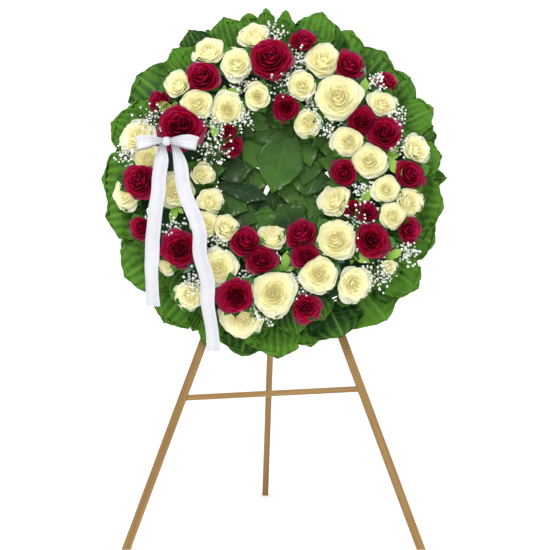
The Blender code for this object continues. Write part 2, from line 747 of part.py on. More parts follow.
def sprig_shells(layout, node, sprig, start):
    """A small leaf with its stalk: the stalk from the root's top into the leaf, and the blade."""
    turn = math.radians(sprig.heading)
    heading = unit(place(math.sin(turn), math.cos(turn), 0.25))
    middle = layout.push_clear(place(sprig.across, sprig.up, 92.0), 4.0, 0.75)
    walls = layout.walls_at(node, middle, sprig.length * 0.5)
    walls = [(normal, distance - BLADE) for normal, distance in walls if distance > 2.5]
    base, tip = press_inside(middle + np.outer((-0.5, 0.5), heading) * sprig.length, middle, walls)
    centre = (base + tip) / 2
    walls = [(normal, max(distance - float((centre - middle) @ normal), 1.5)) for normal, distance in walls]
    walls += layout.leaf_walls(node, base, tip)
    path = layout.route(node, start, base, 1.5)
    layout.lines.append((node, base, tip, MIDRIB))
    leaf = small_leaf(centre, heading, sprig.length, walls)
    path[0] = path[0] - unit(path[1] - path[0]) * 0.7
    path[2] = base + 0.3 * (centre - base)
    return [tube(path, [1.4, 1.4, 1.2], 3), leaf]


def tuft_shell(path, tips):
    """A tuft of baby's breath as one surface: an eight-sided knob whose faces are drawn out into florets.

    Outer faces of the knob run along stalks to the florets, and one inner face runs down the branch to
    the root, so that nothing in the tuft crosses.
    """
    crown, knob = path[-1], 2.4
    start = math.atan2(tips[1][2] - crown[2], tips[1][0] - crown[0]) - 3 * math.pi / 4
    ring = [crown + knob * place(math.cos(start + quarter * math.pi / 2), math.sin(start + quarter * math.pi / 2), 0)
            for quarter in range(4)]
    points = ring + [crown + place(0, 0, knob), crown - place(0, 0, knob)]
    faces = []

    def draw_out(corners, stops):
        """Carry a triangle along stops given as (point, radius); a radius of zero ends it in one vertex."""
        middle = sum(points[corner] for corner in corners) / 3
        rims = [corners]
        before = middle
        for point, radius in stops:
            along = unit(point - before)
            if radius == 0.0:
                points.append(point)
                apex = len(points) - 1
                for first, second in zip(rims[-1], rims[-1][1:] + rims[-1][:1]):
                    faces.append((first, second, apex))
                return
            rim = []
            for corner in corners:
                arm = points[corner] - middle
                arm = unit(arm - along * float(arm @ along))
                points.append(point + arm * radius)
                rim.append(len(points) - 1)
            for first in range(3):
                second = (first + 1) % 3
                faces.append((rims[-1][first], rims[-1][second], rim[second]))
                faces.append((rims[-1][first], rim[second], rim[first]))
            rims.append(rim)
            before = point
        faces.append(tuple(rims[-1]))

    faces.append((3, 0, 4))
    for quarter, tip in enumerate(tips):
        along = unit(tip - crown)
        reach = np.linalg.norm(tip - crown)
        draw_out([quarter, (quarter + 1) % 4, 4],
                 ((crown + along * (reach - 4.0), 0.8), (tip, FLORET_RADIUS), (tip + along * 3.0, 0.0)))
    down = unit(path[-2] - crown)
    lower = [[(quarter + 1) % 4, quarter, 5] for quarter in range(4)]
    normals = [unit(sum(points[corner] for corner in face) / 3 - crown) for face in lower]
    chosen = max(range(4), key=lambda index: float(normals[index] @ down))
    for index, face in enumerate(lower):
        if index == chosen:
            draw_out(face, ((path[-2], 1.5), (path[0] - unit(path[-2] - path[0]) * 0.9, 1.4)))
        else:
            faces.append(tuple(face))
    return shell(points, faces)


def build_rose_sprays(layout, materials, group, parent):
    """Each spray of roses: its root, stems, heads and the small leaves on it."""
    turn = 0.4
    for table, material in ((CREAM_SPRAYS, materials["cream"]), (RED_SPRAYS, materials["red"])):
        for name, (_, sprigs) in table.items():
            shells = [trunk(layout.roots[name])]
            for head in layout.heads[name]:
                turn += 1.9
                collar, bend = layout.paths[id(head)][:2]
                shells.append(head.surface(turn, [bend, collar - unit(bend - collar) * 1.1]))
            for pair in layout.sprigs[name]:
                shells.extend(pair)
            fuse(name, shells, material, group, parent)


def build_fillers(layout, materials, group, parent):
    """Each filler spray: its root, branches with their florets, and eucalyptus leaves."""
    for name, branches in layout.tufts.items():
        shells = [trunk(layout.roots[name])]
        for path, tips in branches:
            shells.append(tuft_shell(path, tips))
        for pair in layout.sprigs[name]:
            shells.extend(pair)
        fuse(name, shells, materials["filler"], group, parent)


def build_collar(materials, group, parent):
    """The collar of broad leaves, in sectors: a twig round the ring's side with its leaves and its root."""
    count = len(COLLAR_LEAVES) // COLLAR_SECTORS
    holes = []
    for sector in range(COLLAR_SECTORS):
        leaves = COLLAR_LEAVES[sector * count:(sector + 1) * count]
        angles = [leaf[0] for leaf in leaves]
        middle = (angles[0] + angles[-1]) / 2
        arc = np.linspace(angles[0] - 0.6, angles[-1] + 0.6, 6)
        shells = [tube([clock(angle, COLLAR_TWIG_RADIUS, COLLAR_TWIG_OUT) for angle in arc], [TWIG_RADIUS] * 6)]
        root = (clock(middle, FOAM_OUTER / MM - SIDE_DEPTH, COLLAR_TWIG_OUT),
                clock(middle, COLLAR_TWIG_RADIUS, COLLAR_TWIG_OUT))
        shells.append(tube(root, [TWIG_RADIUS, TWIG_RADIUS], 5))
        holes.append(root)
        for index, (angle, reach, width, cut) in enumerate(leaves):
            layer = COLLAR_LAYER if (sector * count + index) % 2 else -COLLAR_LAYER
            base = clock(angle, COLLAR_TWIG_RADIUS - 1.0, COLLAR_TWIG_OUT + 0.03 * layer)
            tip = clock(angle, reach, COLLAR_TWIG_OUT + layer)
            face = clock(angle, -0.12 if layer > 0 else 0.1, 1.0)
            columns = 4 if width > 45 else 3
            shells.append(blade(base, tip, face, width, cut, bend=-0.15 * layer, pleat=1.9, columns=columns))
        fuse(f"collar_leaves_{sector + 1}", shells, materials["leaf"], group, parent)
    return holes


def build_centre(materials, group, parent):
    """The leaves across the hole, in four groups rooted in the ring's inner side."""
    holes = []
    for name, (out, angle, leaves) in CENTRE_LEAVES.items():
        shells = []
        inner = FOAM_INNER / MM
        knee = clock(angle, inner - 8.0, out - 4.0)
        root = (clock(angle, inner + SIDE_DEPTH, out - 4.0), knee)
        holes.append(root)
        shells.append(tube(root, [TWIG_RADIUS, TWIG_RADIUS], 5))
        for index, (start, end, width, cut) in enumerate(leaves):
            level = out - 1.8 * index
            base = place(*start, level)
            tip = place(*end, level - 0.5)
            along = unit(tip - base)
            shells.append(tube([knee + unit(knee - base) * 1.0, base + along * 7.0], [1.7, 1.2], 4))
            columns = 4 if width > 80 else 3
            shells.append(blade(base, tip, place(0.02 * index, 0.03, 1), width, cut, bend=0.6, pleat=0.6,
                                columns=columns))
        fuse(name, shells, materials["centre_leaf"], group, parent)
    return holes


def ring_profile(name, corners, material, group, parent, flip=False):
    """A turned ring: a closed profile of (radius, out) corners, screwed round the wreath's own axis."""
    mesh = bpy.data.meshes.new(name)
    points = [(radius, -out, 0.0) for radius, out in corners]
    edges = [(index, (index + 1) % len(points)) for index in range(len(points))]
    mesh.from_pydata(points, edges, [])
    ring = add_object(name, mesh, material, group, parent)
    turn = ring.modifiers.new("turn", "SCREW")
    turn.axis = "Y"
    turn.angle = 2 * math.pi
    turn.steps = turn.render_steps = RING_STEPS
    turn.use_merge_vertices = True
    turn.merge_threshold = 0.00001
    turn.use_normal_calculate = True
    turn.use_normal_flip = flip
    return ring


def build_ring(layout, side_holes, materials, group, cutters, parent):
    """The foam ring in its tray, with a plain hole for every root."""
    wall, chamfer = TRAY_WALL, 0.006
    base = wall + GAP
    foam = ring_profile("foam_ring", (
        (FOAM_OUTER, base), (FOAM_OUTER, FOAM_DEPTH - chamfer), (FOAM_OUTER - chamfer, FOAM_DEPTH),
        (FOAM_INNER + chamfer, FOAM_DEPTH), (FOAM_INNER, FOAM_DEPTH - chamfer), (FOAM_INNER, base)),
        materials["foam"], group, parent)
    ring_profile("ring_tray", (
        (TRAY_INNER, 0.0), (TRAY_INNER, TRAY_RIM), (TRAY_INNER + wall, TRAY_RIM), (TRAY_INNER + wall, wall),
        (TRAY_OUTER - wall, wall), (TRAY_OUTER - wall, TRAY_RIM), (TRAY_OUTER, TRAY_RIM), (TRAY_OUTER, 0.0)),
        materials["tray"], group, parent, flip=True)
    clearance = GAP / MM
    points, faces = [], []
    shells = []
    for name, root in layout.roots.items():
        ends = [root - place(0, 0, ROOT_DEPTH + clearance), root + place(0, 0, 3.0)]
        radius = PICK_RADIUS if name == "ribbon_bow" else ROOT_RADIUS
        shells.append(tube(ends, [radius + 2 * clearance] * 2, 5))
    for deep, shallow in side_holes:
        away = unit(deep - shallow)
        ends = [deep + away * clearance, shallow - away * 2.0]
        shells.append(tube(ends, [TWIG_RADIUS + 2 * clearance] * 2, 5))
    for piece_points, piece_faces in shells:
        start = len(points)
        points.extend(piece_points)
        faces.extend(tuple(start + corner for corner in face) for face in piece_faces)
    cutter = add_object("root_hole_cutter", shell_mesh("root_holes", np.array(points), faces), None, cutters, parent)
    cutter.hide_render = True
    cutter.display_type = "WIRE"
    holes = foam.modifiers.new("root_holes", "BOOLEAN")
    holes.operation = "DIFFERENCE"
    holes.object = cutter
    holes.solver = "EXACT"


def drape(layout, across, up, half_width):
    """How far out a ribbon has to lie to pass over the flowers at a place."""
    level = FLOOR_OUT + 20.0
    for head in layout.every_head:
        flat = math.hypot(head.middle[0] - across, head.middle[2] - up)
        reach = head.radius + half_width
        if flat < reach:
            dome = head.radius * 0.62 * math.sqrt(max(0.0, 1 - (flat / reach) ** 2))
            level = max(level, -head.middle[1] + dome + 2.0)
    for node, start, end, thick in layout.lines:
        for point in (start, end):
            if node != "ribbon_bow" and math.hypot(point[0] - across, point[2] - up) < half_width + thick:
                level = max(level, -point[1] + thick + 1.5)
    return level


def ribbon_strip(path, widths):
    """A strip of ribbon through (across, up, out) points, with a width across the wreath at each."""
    points = []
    for index, ((across, up, out), width) in enumerate(zip(path, widths)):
        before, after = path[max(index - 1, 0)], path[min(index + 1, len(path) - 1)]
        along = unit(place(*after) - place(*before))
        side = unit(np.cross(along, place(0, 0, 1)))
        face = np.cross(side, along)
        middle = place(across, up, out)
        for wide, deep in ((-1, -1), (1, -1), (1, 1), (-1, 1)):
            points.append(middle + side * wide * width / 2 + face * deep * RIBBON_THICK / 2)
    faces = [(3, 2, 1, 0), tuple(range(len(points) - 4, len(points)))]
    for ring in range(len(path) - 1):
        for step in range(4):
            low, high, after = ring * 4 + step, (ring + 1) * 4 + step, (step + 1) % 4
            faces.append((low, ring * 4 + after, (ring + 1) * 4 + after))
            faces.append((low, (ring + 1) * 4 + after, high))
    return shell(points, faces)


def bow_loop(side, length, depth, steps=10):
    """One loop of the bow: a band that leaves the knot, turns back and returns behind itself."""
    points, faces = [], []
    knot = place(*KNOT)
    for step in range(steps):
        turn = 2 * math.pi * (step + 0.5) / steps
        reach = 0.5 * length * (1 - math.cos(turn))
        out = depth * math.sin(turn) * (0.35 + 0.65 * reach / length)
        width = 13.0 + (RIBBON_WIDTH - 13.0) * min(1.0, reach / (0.55 * length))
        normal = unit(place(side * (-math.cos(turn)), 0, math.sin(turn)))
        for tall, thick in ((-1, -1), (1, -1), (1, 1), (-1, 1)):
            points.append(knot + place(side * reach, 0.5 * width * tall + 0.08 * reach, out)
                          + normal * thick * RIBBON_THICK * 0.5)
    for step in range(steps):
        after = (step + 1) % steps
        for corner in range(4):
            other = (corner + 1) % 4
            faces.append((step * 4 + corner, step * 4 + other, after * 4 + other))
            faces.append((step * 4 + corner, after * 4 + other, after * 4 + corner))
    return shell(points, faces)


def build_ribbon(layout, materials, group, parent):
    """The bow on its wire pick, and its two tails over the flowers."""
    knot = place(*KNOT)
    pick = layout.bow_path
    mesh = bmesh.new()
    bmesh.ops.create_uvsphere(mesh, u_segments=8, v_segments=5, radius=1.0)
    bmesh.ops.transform(mesh, matrix=Matrix.Diagonal((9.0, 8.0, 10.0, 1.0)), verts=mesh.verts)
    ball = shell([np.array(vertex.co) + knot for vertex in mesh.verts],
                 [tuple(vertex.index for vertex in face.verts) for face in mesh.faces])
    mesh.free()
    shells = [ball, bow_loop(-1, 64.0, 12.0), bow_loop(1, 66.0, 12.0),
              tube([pick[0] - place(0, 0, ROOT_DEPTH), pick[1], pick[2]], [PICK_RADIUS] * 3, 6)]
    fuse("ribbon_bow", shells, materials["satin"], group, parent)
    tails = {
        "ribbon_tail_left": ((-235.8, 76), (-239, 62), (-242, 30), (-247, -10), (-251, -60), (-256, -110),
                             (-259, -160), (-261, -210), (-262, -250), (-256, -272)),
        "ribbon_tail_right": ((-222.2, 76), (-214, 62), (-204, 30), (-190, -10), (-178, -55), (-168, -100),
                              (-157, -150), (-148, -200), (-140, -250), (-134, -300), (-131, -340), (-129, -372)),
    }
    for name, route in tails.items():
        levels = [drape(layout, across, up, RIBBON_WIDTH / 2 + 3) for across, up in route]
        levels = [max(levels[max(index - 1, 0):index + 2]) + 3.0 for index in range(len(levels))]
        levels = [0.5 * level + 0.25 * (levels[max(index - 1, 0)] + levels[min(index + 1, len(levels) - 1)])
                  if 0 < index < len(levels) - 1 else level for index, level in enumerate(levels)]
        floor = [drape(layout, across, up, RIBBON_WIDTH / 2 + 3) for across, up in route]
        path = [(across, up, max(level, low + 1.0)) for (across, up), level, low in zip(route, levels, floor)]
        path[0] = (path[0][0], path[0][1], KNOT[2] - TAIL_BEHIND)
        widths = [PINCHED_WIDTH, 0.65 * RIBBON_WIDTH] + [RIBBON_WIDTH] * (len(path) - 2)
        points, faces = ribbon_strip(path, widths)
        add_object(name, shell_mesh(name, points, faces), materials["satin"], group, parent)


def lath(name, foot, head, across, width, thick, foot_plane, head_plane, material, group, parent=None):
    """A sawn lath between two points, its ends cut by planes given as (point, normal)."""
    foot, head = Vector(foot), Vector(head)
    along = (head - foot).normalized()
    across = (Vector(across) - along * along.dot(Vector(across))).normalized()
    through = along.cross(across)
    mesh = bmesh.new()
    bmesh.ops.create_cube(mesh, size=1.0)
    for vertex in mesh.verts:
        start = foot + across * vertex.co.x * width + through * vertex.co.y * thick
        point, normal = head_plane if vertex.co.z > 0 else foot_plane
        normal = Vector(normal)
        vertex.co = start + along * ((Vector(point) - start).dot(normal) / along.dot(normal))
    if mesh.calc_volume(signed=True) < 0:
        bmesh.ops.reverse_faces(mesh, faces=mesh.faces)
    data = bpy.data.meshes.new(name)
    mesh.to_mesh(data)
    mesh.free()
    return add_object(name, data, material, group, parent)


def cylinder(radius, start, end, segments=16):
    """A round bar between two points, as a bmesh."""
    start, end = Vector(start), Vector(end)
    mesh = bmesh.new()
    bmesh.ops.create_cone(mesh, cap_ends=True, segments=segments, radius1=radius, radius2=radius,
                          depth=(end - start).length)
    turn = (end - start).to_track_quat("Z", "Y").to_matrix().to_4x4()
    bmesh.ops.transform(mesh, matrix=Matrix.Translation((start + end) / 2) @ turn, verts=mesh.verts)
    return mesh


def mesh_object(name, mesh, material, group, parent=None):
    """An object from a bmesh, which is freed."""
    data = bpy.data.meshes.new(name)
    mesh.to_mesh(data)
    mesh.free()
    return add_object(name, data, material, group, parent)


def build_easel(materials, group, cutters):
    """Front legs, crossbar, post and peg in the leaning plane, and the hinged back leg behind them."""
    wood = materials["wood"]
    plane = bpy.data.objects.new("easel_plane", None)
    group.objects.link(plane)
    plane.location = (0.0, FRONT_LINE_Y, 0.0)
    plane.rotation_euler = (-LEAN, 0.0, 0.0)
    floor_normal = Vector((0.0, -math.sin(LEAN), math.cos(LEAN)))
    half_post = LEG_WIDTH / 2 + GAP
    for side, name in ((-1, "front_leg_left"), (1, "front_leg_right")):
        foot = (side * FOOT_SPREAD / 2, 0.0, 0.0)
        lath(name, foot, (0.0, 0.0, APEX_HEIGHT), (1, 0, 0), LEG_WIDTH, LEG_THICK, ((0, 0, 0), floor_normal),
             ((side * half_post, 0, 0), (1, 0, 0)), wood, group, plane)
    lath("centre_post", (0, 0, POST_BOTTOM), (0, 0, POST_TOP), (1, 0, 0), LEG_WIDTH, LEG_THICK,
         ((0, 0, POST_BOTTOM), (0, 0, 1)), ((0, 0, POST_TOP), (0, 0, 1)), wood, group, plane)
    ends = []
    for side, height in ((-1, BAR_LEFT), (1, BAR_RIGHT)):
        slope = (FOOT_SPREAD / 2) / APEX_HEIGHT
        inset = (LEG_WIDTH / 2) * math.sqrt(1 + slope ** 2) + GAP
        reach = FOOT_SPREAD / 2 - slope * height - inset
        ends.append(((side * reach, 0, height), (1, 0, side * slope)))
    lath("crossbar", ends[0][0], ends[1][0], (0, 0, 1), BAR_WIDTH, BAR_THICK, ends[0], ends[1], wood, group, plane)
    build_peg(wood, group, cutters, plane)
    build_hinge(materials, group, plane)
    return plane


def build_peg(wood, group, cutters, plane):
    """The peg that the ring hangs on, in a blind hole in the post."""
    height = WREATH_HEIGHT + TRAY_INNER - 0.0006 - PEG_RADIUS
    front = -LEG_THICK / 2
    mesh_object("hanging_peg", cylinder(PEG_RADIUS, (0, front + PEG_SINK, height),
                                        (0, front - PEG_REACH, height)), wood, group, plane)
    cutter = mesh_object("peg_hole_cutter", cylinder(PEG_RADIUS + GAP, (0, front + PEG_SINK + GAP, height),
                                                     (0, front - 0.004, height)), None, cutters, plane)
    cutter.hide_render = True
    cutter.display_type = "WIRE"
    hole = bpy.data.objects["centre_post"].modifiers.new("peg_hole", "BOOLEAN")
    hole.operation = "DIFFERENCE"
    hole.object = cutter
    hole.solver = "EXACT"


def knuckle_leaf(name, spans, plate_low, plate_high, plate_y, joint_y, inner, material, group, parent):
    """Half of the hinge: a flat plate and the knuckles it carries, round a pin along X at the origin."""
    shells = []
    for start, end in spans:
        steps = 8
        points, faces = [], []
        for across in (start, end):
            for radius in (KNUCKLE_RADIUS, inner):
                for step in range(steps):
                    turn = 2 * math.pi * step / steps
                    points.append((across / MM, radius * math.cos(turn) / MM, radius * math.sin(turn) / MM))
        for step in range(steps):
            after = (step + 1) % steps
            outer_a, inner_a, outer_b, inner_b = 0, steps, 2 * steps, 3 * steps
            faces.append((outer_a + step, outer_a + after, outer_b + after, outer_b + step))
            faces.append((inner_a + after, inner_a + step, inner_b + step, inner_b + after))
            faces.append((outer_a + after, outer_a + step, inner_a + step, inner_a + after))
            faces.append((outer_b + step, outer_b + after, inner_b + after, inner_b + step))
        shells.append(shell(np.array(points), faces))
    low = np.array([-HINGE_WIDTH / 2, min(plate_y), min(plate_low, plate_high)]) / MM
    high = np.array([HINGE_WIDTH / 2, max(plate_y), max(plate_low, plate_high)]) / MM
    shells.append(box_shell(low, high))
    for start, end in spans:
        web_low = np.array([start, min(joint_y), min(plate_low, joint_y[2])]) / MM
        web_high = np.array([end, max(joint_y[:2]), max(plate_low, joint_y[2])]) / MM
        shells.append(box_shell(web_low, web_high))
    return fuse(name, shells, material, group, parent)


def box_shell(low, high):
    """A box between two corners, as a closed surface."""
    mesh = bmesh.new()
    bmesh.ops.create_cube(mesh, size=1.0)
    points = [np.array(vertex.co) * (high - low) + (low + high) / 2 for vertex in mesh.verts]
    faces = [tuple(vertex.index for vertex in face.verts) for face in mesh.faces]
    mesh.free()
    return shell(points, faces)


def build_hinge(materials, group, plane):
    """A butt hinge behind the post, and the back leg that swings on it."""
    brass = materials["brass"]
    pin_y = LEG_THICK / 2 + GAP + KNUCKLE_RADIUS
    fixed = bpy.data.objects.new("hinge_fixed_frame", None)
    group.objects.link(fixed)
    fixed.parent = plane
    fixed.location = (HINGE_X, pin_y, HINGE_HEIGHT)
    half = HINGE_WIDTH / 2
    third = HINGE_WIDTH / 6
    bpy.context.view_layer.update()
    hinge = plane.matrix_basis @ Vector((HINGE_X, pin_y, HINGE_HEIGHT))
    bore = PIN_RADIUS + GAP
    plate_y = (-KNUCKLE_RADIUS, -KNUCKLE_RADIUS + HINGE_PLATE)
    knuckle_leaf("hinge_upper_leaf", ((-half, -third - GAP / 2), (third + GAP / 2, half)),
                 KNUCKLE_RADIUS + 0.0006, HINGE_LEAF, plate_y,
                 (plate_y[0], plate_y[1], KNUCKLE_RADIUS * 0.5), bore, brass, group, fixed)
    mesh_object("hinge_pin", cylinder(PIN_RADIUS, (-half - 0.0008, 0, 0), (half + 0.0008, 0, 0), 10), brass, group, fixed)
    foot = Vector((BACK_FOOT_X, FRONT_LINE_Y + BACK_FOOT_Y, 0.0))
    swing = bpy.data.objects.new("back_leg_frame", None)
    group.objects.link(swing)
    swing.location = hinge
    lean_back = math.atan2(foot.y - hinge.y, hinge.z)
    swing.rotation_euler = (lean_back, 0.0, 0.0)
    leg_y = -KNUCKLE_RADIUS + HINGE_PLATE + GAP
    knuckle_leaf("hinge_lower_leaf", ((-third + GAP / 2, third - GAP / 2),),
                 -KNUCKLE_RADIUS - 0.0006, -HINGE_LEAF, plate_y,
                 (plate_y[0], plate_y[1], -KNUCKLE_RADIUS * 0.5), bore, brass, group, swing)
    middle_y = leg_y + BACK_DEPTH / 2
    top = -KNUCKLE_RADIUS - 0.0008
    length = math.hypot(foot.y - hinge.y, hinge.z)
    turn = Matrix.Rotation(lean_back, 4, "X")
    floor_normal = turn.inverted().to_3x3() @ Vector((0, 0, 1))
    floor_point = turn.inverted().to_3x3() @ Vector((0, 0, -hinge.z))
    lath("back_leg", (BACK_FOOT_X - HINGE_X, middle_y, -length), (BACK_HEAD_X - HINGE_X, middle_y, top), (1, 0, 0), BACK_WIDTH,
         BACK_DEPTH, (floor_point, floor_normal), ((0, 0, top), (0, 0, 1)), materials["wood"], group, swing)


def main():
    """Build every piece in order."""
    clear_scene()
    group = new_collection("standing_funeral_wreath")
    cutters = new_collection("cutters")
    materials = {
        "wood": finish("wood", (0.42, 0.24, 0.09), 0.6),
        "brass": finish("brass", (0.62, 0.44, 0.16), 0.35, 1.0),
        "foam": finish("foam", (0.02, 0.09, 0.03), 0.95),
        "tray": finish("tray", (0.01, 0.05, 0.02), 0.5),
        "leaf": finish("leaf", (0.07, 0.20, 0.03), 0.45),
        "centre_leaf": finish("centre_leaf", (0.04, 0.14, 0.03), 0.35),
        "cream": finish("cream_petal", (0.90, 0.84, 0.55), 0.6),
        "red": finish("red_petal", (0.32, 0.004, 0.02), 0.5),
        "filler": finish("filler", (0.85, 0.88, 0.80), 0.7),
        "satin": finish("satin", (0.85, 0.85, 0.87), 0.3),
    }
    plane = build_easel(materials, group, cutters)
    wreath = bpy.data.objects.new("wreath_frame", None)
    group.objects.link(wreath)
    wreath.parent = plane
    wreath.location = (0.0, -(LEG_THICK / 2 + GAP), WREATH_HEIGHT)
    layout = Arrangement()
    layout.sprigs = {}
    for table in (CREAM_SPRAYS, RED_SPRAYS, FILLERS):
        for name, (_, sprigs) in table.items():
            layout.sprigs[name] = [sprig_shells(layout, name, sprig, layout.collar_point(name)) for sprig in sprigs]
    layout.build_walls()
    build_rose_sprays(layout, materials, group, wreath)
    build_fillers(layout, materials, group, wreath)
    side_holes = build_collar(materials, group, wreath)
    side_holes += build_centre(materials, group, wreath)
    build_ring(layout, side_holes, materials, group, cutters, wreath)
    build_ribbon(layout, materials, group, wreath)


main()
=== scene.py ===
"""Dress the standing funeral wreath: roses, leaves, baby's breath, satin ribbon and a wooden easel.

The solids of the model come in as the frame.  Flowers, leaves and ribbon are replaced by finer
surfaces at the same places, and the easel, foam and hinge keep their solids with better finishes.
Places on the wreath are (across, up, out) in millimetres from the middle of the ring's back.
"""
import logging
import math
from dataclasses import dataclass, field
from enum import Enum
from typing import Optional, Sequence

import bpy
import numpy as np
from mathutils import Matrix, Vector


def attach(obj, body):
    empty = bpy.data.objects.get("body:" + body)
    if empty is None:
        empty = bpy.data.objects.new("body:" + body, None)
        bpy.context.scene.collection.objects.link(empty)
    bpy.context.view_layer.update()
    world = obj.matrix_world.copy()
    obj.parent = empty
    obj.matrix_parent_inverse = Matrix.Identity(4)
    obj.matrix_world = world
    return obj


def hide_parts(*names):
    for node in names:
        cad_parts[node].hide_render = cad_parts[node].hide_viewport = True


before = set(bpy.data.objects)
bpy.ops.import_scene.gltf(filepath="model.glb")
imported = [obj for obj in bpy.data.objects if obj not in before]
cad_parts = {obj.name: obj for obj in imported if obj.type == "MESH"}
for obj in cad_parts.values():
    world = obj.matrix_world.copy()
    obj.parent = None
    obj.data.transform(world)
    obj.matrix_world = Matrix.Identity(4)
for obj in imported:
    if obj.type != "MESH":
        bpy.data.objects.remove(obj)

LOG = logging.getLogger("wreath")
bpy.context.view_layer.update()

Colour = tuple[float, float, float]
WHITE: Colour = (1.0, 1.0, 1.0)
PAPER: Colour = (0.94, 0.94, 0.94)

MM = 0.001
TINY = 1e-9
NUDGE = 1e-6
FAR = 1e6
GOLDEN_ANGLE = math.radians(137.508)

# The easel's leaning plane and the ring in it, as in the model's source
LEAN = math.radians(10.0)
FRONT_LINE_Y = -0.262
WREATH_HEIGHT = 0.798
RING_BACK = 0.0063
FOAM_FACE = 50.0
FOAM_INNER = 174.3
FOAM_OUTER = 280.7
UP = np.array([0.0, math.sin(LEAN), math.cos(LEAN)])
OUT = np.array([0.0, -math.cos(LEAN), math.sin(LEAN)])
START = np.array([0.0, FRONT_LINE_Y, 0.0]) + RING_BACK * OUT + WREATH_HEIGHT * UP

# The band of flowers: its crown, how blooms tilt and sink on it, and the level of the foliage under it
BAND_MIDDLE = 229.0
BAND_HALF = 112.0
CROWN_RISE = 34.0
CROWN_BASE = 74.0
CROWN_CURVE = 0.9
EDGE_TILT = math.radians(52.0)
FULLNESS = 1.14
FRONT_SHARE = 0.35
SINK_SHARE = 0.12
FLOOR_OUT = 53.0

# Where a rose's neck is, in its radii, and how far out small leaves lie among the roses
NECK_HEIGHT = -0.42
SPRIG_OUT = 92.0

# Forward on the wreath, a push that is mostly forward, and ways that no stem and no rose points
FORWARD = np.array([0.0, 0.0, 1.0])
MOSTLY_OUT = (0.35, 0.35, 1.0)
TUBE_ASIDE = (0.31, 0.39, 0.87)
HEAD_ASIDE = (0.21, 0.97, 0.13)

# Side veins of a leaf, in its relief and its colour
VEINS = 7.0
VEIN_SLOPE = 1.6

# How thick petals and leaves are
PETAL_THICK = 0.5
SMALL_LEAF_THICK = 0.4
LEAF_THICK = 0.5
BROAD_LEAF_THICK = 0.6

# Material slots of the sprays of roses, of baby's breath, of leaf twigs and of the ribbon's knot
PETAL, LEAF, STEM, SPRIG = range(4)
FLORET, STALK, EUCALYPTUS = range(3)
BLADE, TWIG = range(2)
SATIN, PICK = range(2)

# Steps of the repeatable noise
INDEX_STEP = 12.9898
SEED_STEP = 78.233
SINE_SCALE = 43758.5453

# The bow's knot, and where its pick goes into the foam
KNOT = (-229.0, 71.0, 148.0)
PICK_ROOT = (-229.0, 77.0, FOAM_FACE - 8.0)


class RoseForm(Enum):
    """How far a rose has opened."""
    OPEN = "open"
    FULL = "full"
    BUD = "bud"
    CUP = "cup"


OPEN, FULL, BUD, CUP = RoseForm


@dataclass(frozen=True)
class Bloom:
    """A rose: its place on the wreath, width, lift out of the band and how far it has opened."""
    across: float
    up: float
    width: float
    lift: float = 0.0
    form: RoseForm = OPEN


@dataclass(frozen=True)
class Sprig:
    """A small leaf among the roses, pointing at a compass heading in degrees (0 up, 90 right)."""
    across: float
    up: float
    length: float
    heading: float


@dataclass(frozen=True)
class Tuft:
    """A tuft of baby's breath and its radius."""
    across: float
    up: float
    radius: float


CREAM_SPRAYS: dict[str, tuple[tuple[Bloom, ...], tuple[Sprig, ...]]] = {
    "cream_roses_top_left": (
        (Bloom(-143, 284, 66), Bloom(-81, 255, 64, 4), Bloom(-42, 319, 64, -4, CUP)), ()),
    "cream_roses_upper_left": (
        (Bloom(-209, 209, 57, 0, CUP), Bloom(-167, 165, 64, 4)), (Sprig(-235, 158, 50, -65),)),
    "cream_roses_inner_top_left": (
        (Bloom(-99, 152, 64), Bloom(-35, 180, 57, 6, BUD)),
        (Sprig(-92, 191, 46, 75), Sprig(-128, 108, 40, 180))),
    "cream_roses_left": (
        (Bloom(-299, 92, 66), Bloom(-277, 46, 62, -8), Bloom(-321, -29, 59, -14)), ()),
    "cream_roses_inner_left": (
        (Bloom(-156, 11, 51, -6, BUD), Bloom(-211, -24, 70, -8)), (Sprig(-216, -77, 40, 200),)),
    "cream_roses_top_right": (
        (Bloom(108, 264, 73), Bloom(141, 178, 92, 10, FULL)), (Sprig(198, 204, 42, 10),)),
    "cream_roses_inner_top_right": (
        (Bloom(62, 205, 59, 0, CUP), Bloom(73, 123, 55, -4, CUP)), ()),
    "cream_roses_upper_right": (
        (Bloom(238, 165, 55), Bloom(310, 64, 59, 0, CUP)), (Sprig(257, 62, 38, 60),)),
    "cream_roses_right": ((Bloom(161, 81, 62, 2), Bloom(207, 37, 70, 4)), (Sprig(262, 28, 56, 140),)),
    "cream_roses_lower_right": (
        (Bloom(244, -24, 53, 2), Bloom(262, -86, 55), Bloom(295, -51, 57, -2, FULL)),
        (Sprig(200, -40, 46, 20),)),
    "cream_roses_inner_lower_left": (
        (Bloom(-134, -48, 51), Bloom(-145, -97, 53, -2), Bloom(-103, -106, 55, 2, CUP)), ()),
    "cream_roses_bottom": (
        (Bloom(-70, -301, 75, -6, FULL), Bloom(0, -251, 84, 10, FULL),
         Bloom(-4, -125, 59, -2)), (Sprig(26, -180, 46, 10),)),
    "cream_roses_lower_left": (
        (Bloom(-119, -194, 70, 2), Bloom(-183, -257, 53, -8), Bloom(-229, -187, 40, -10, BUD)), ()),
    "cream_roses_inner_right": (
        (Bloom(132, -46, 64), Bloom(134, -134, 79, 6, FULL)), (Sprig(187, -172, 46, 120),)),
    "cream_roses_bottom_right": (
        (Bloom(97, -209, 73, 8), Bloom(172, -231, 64), Bloom(249, -194, 35, -4, BUD)),
        (Sprig(260, -165, 42, 60),)),
}

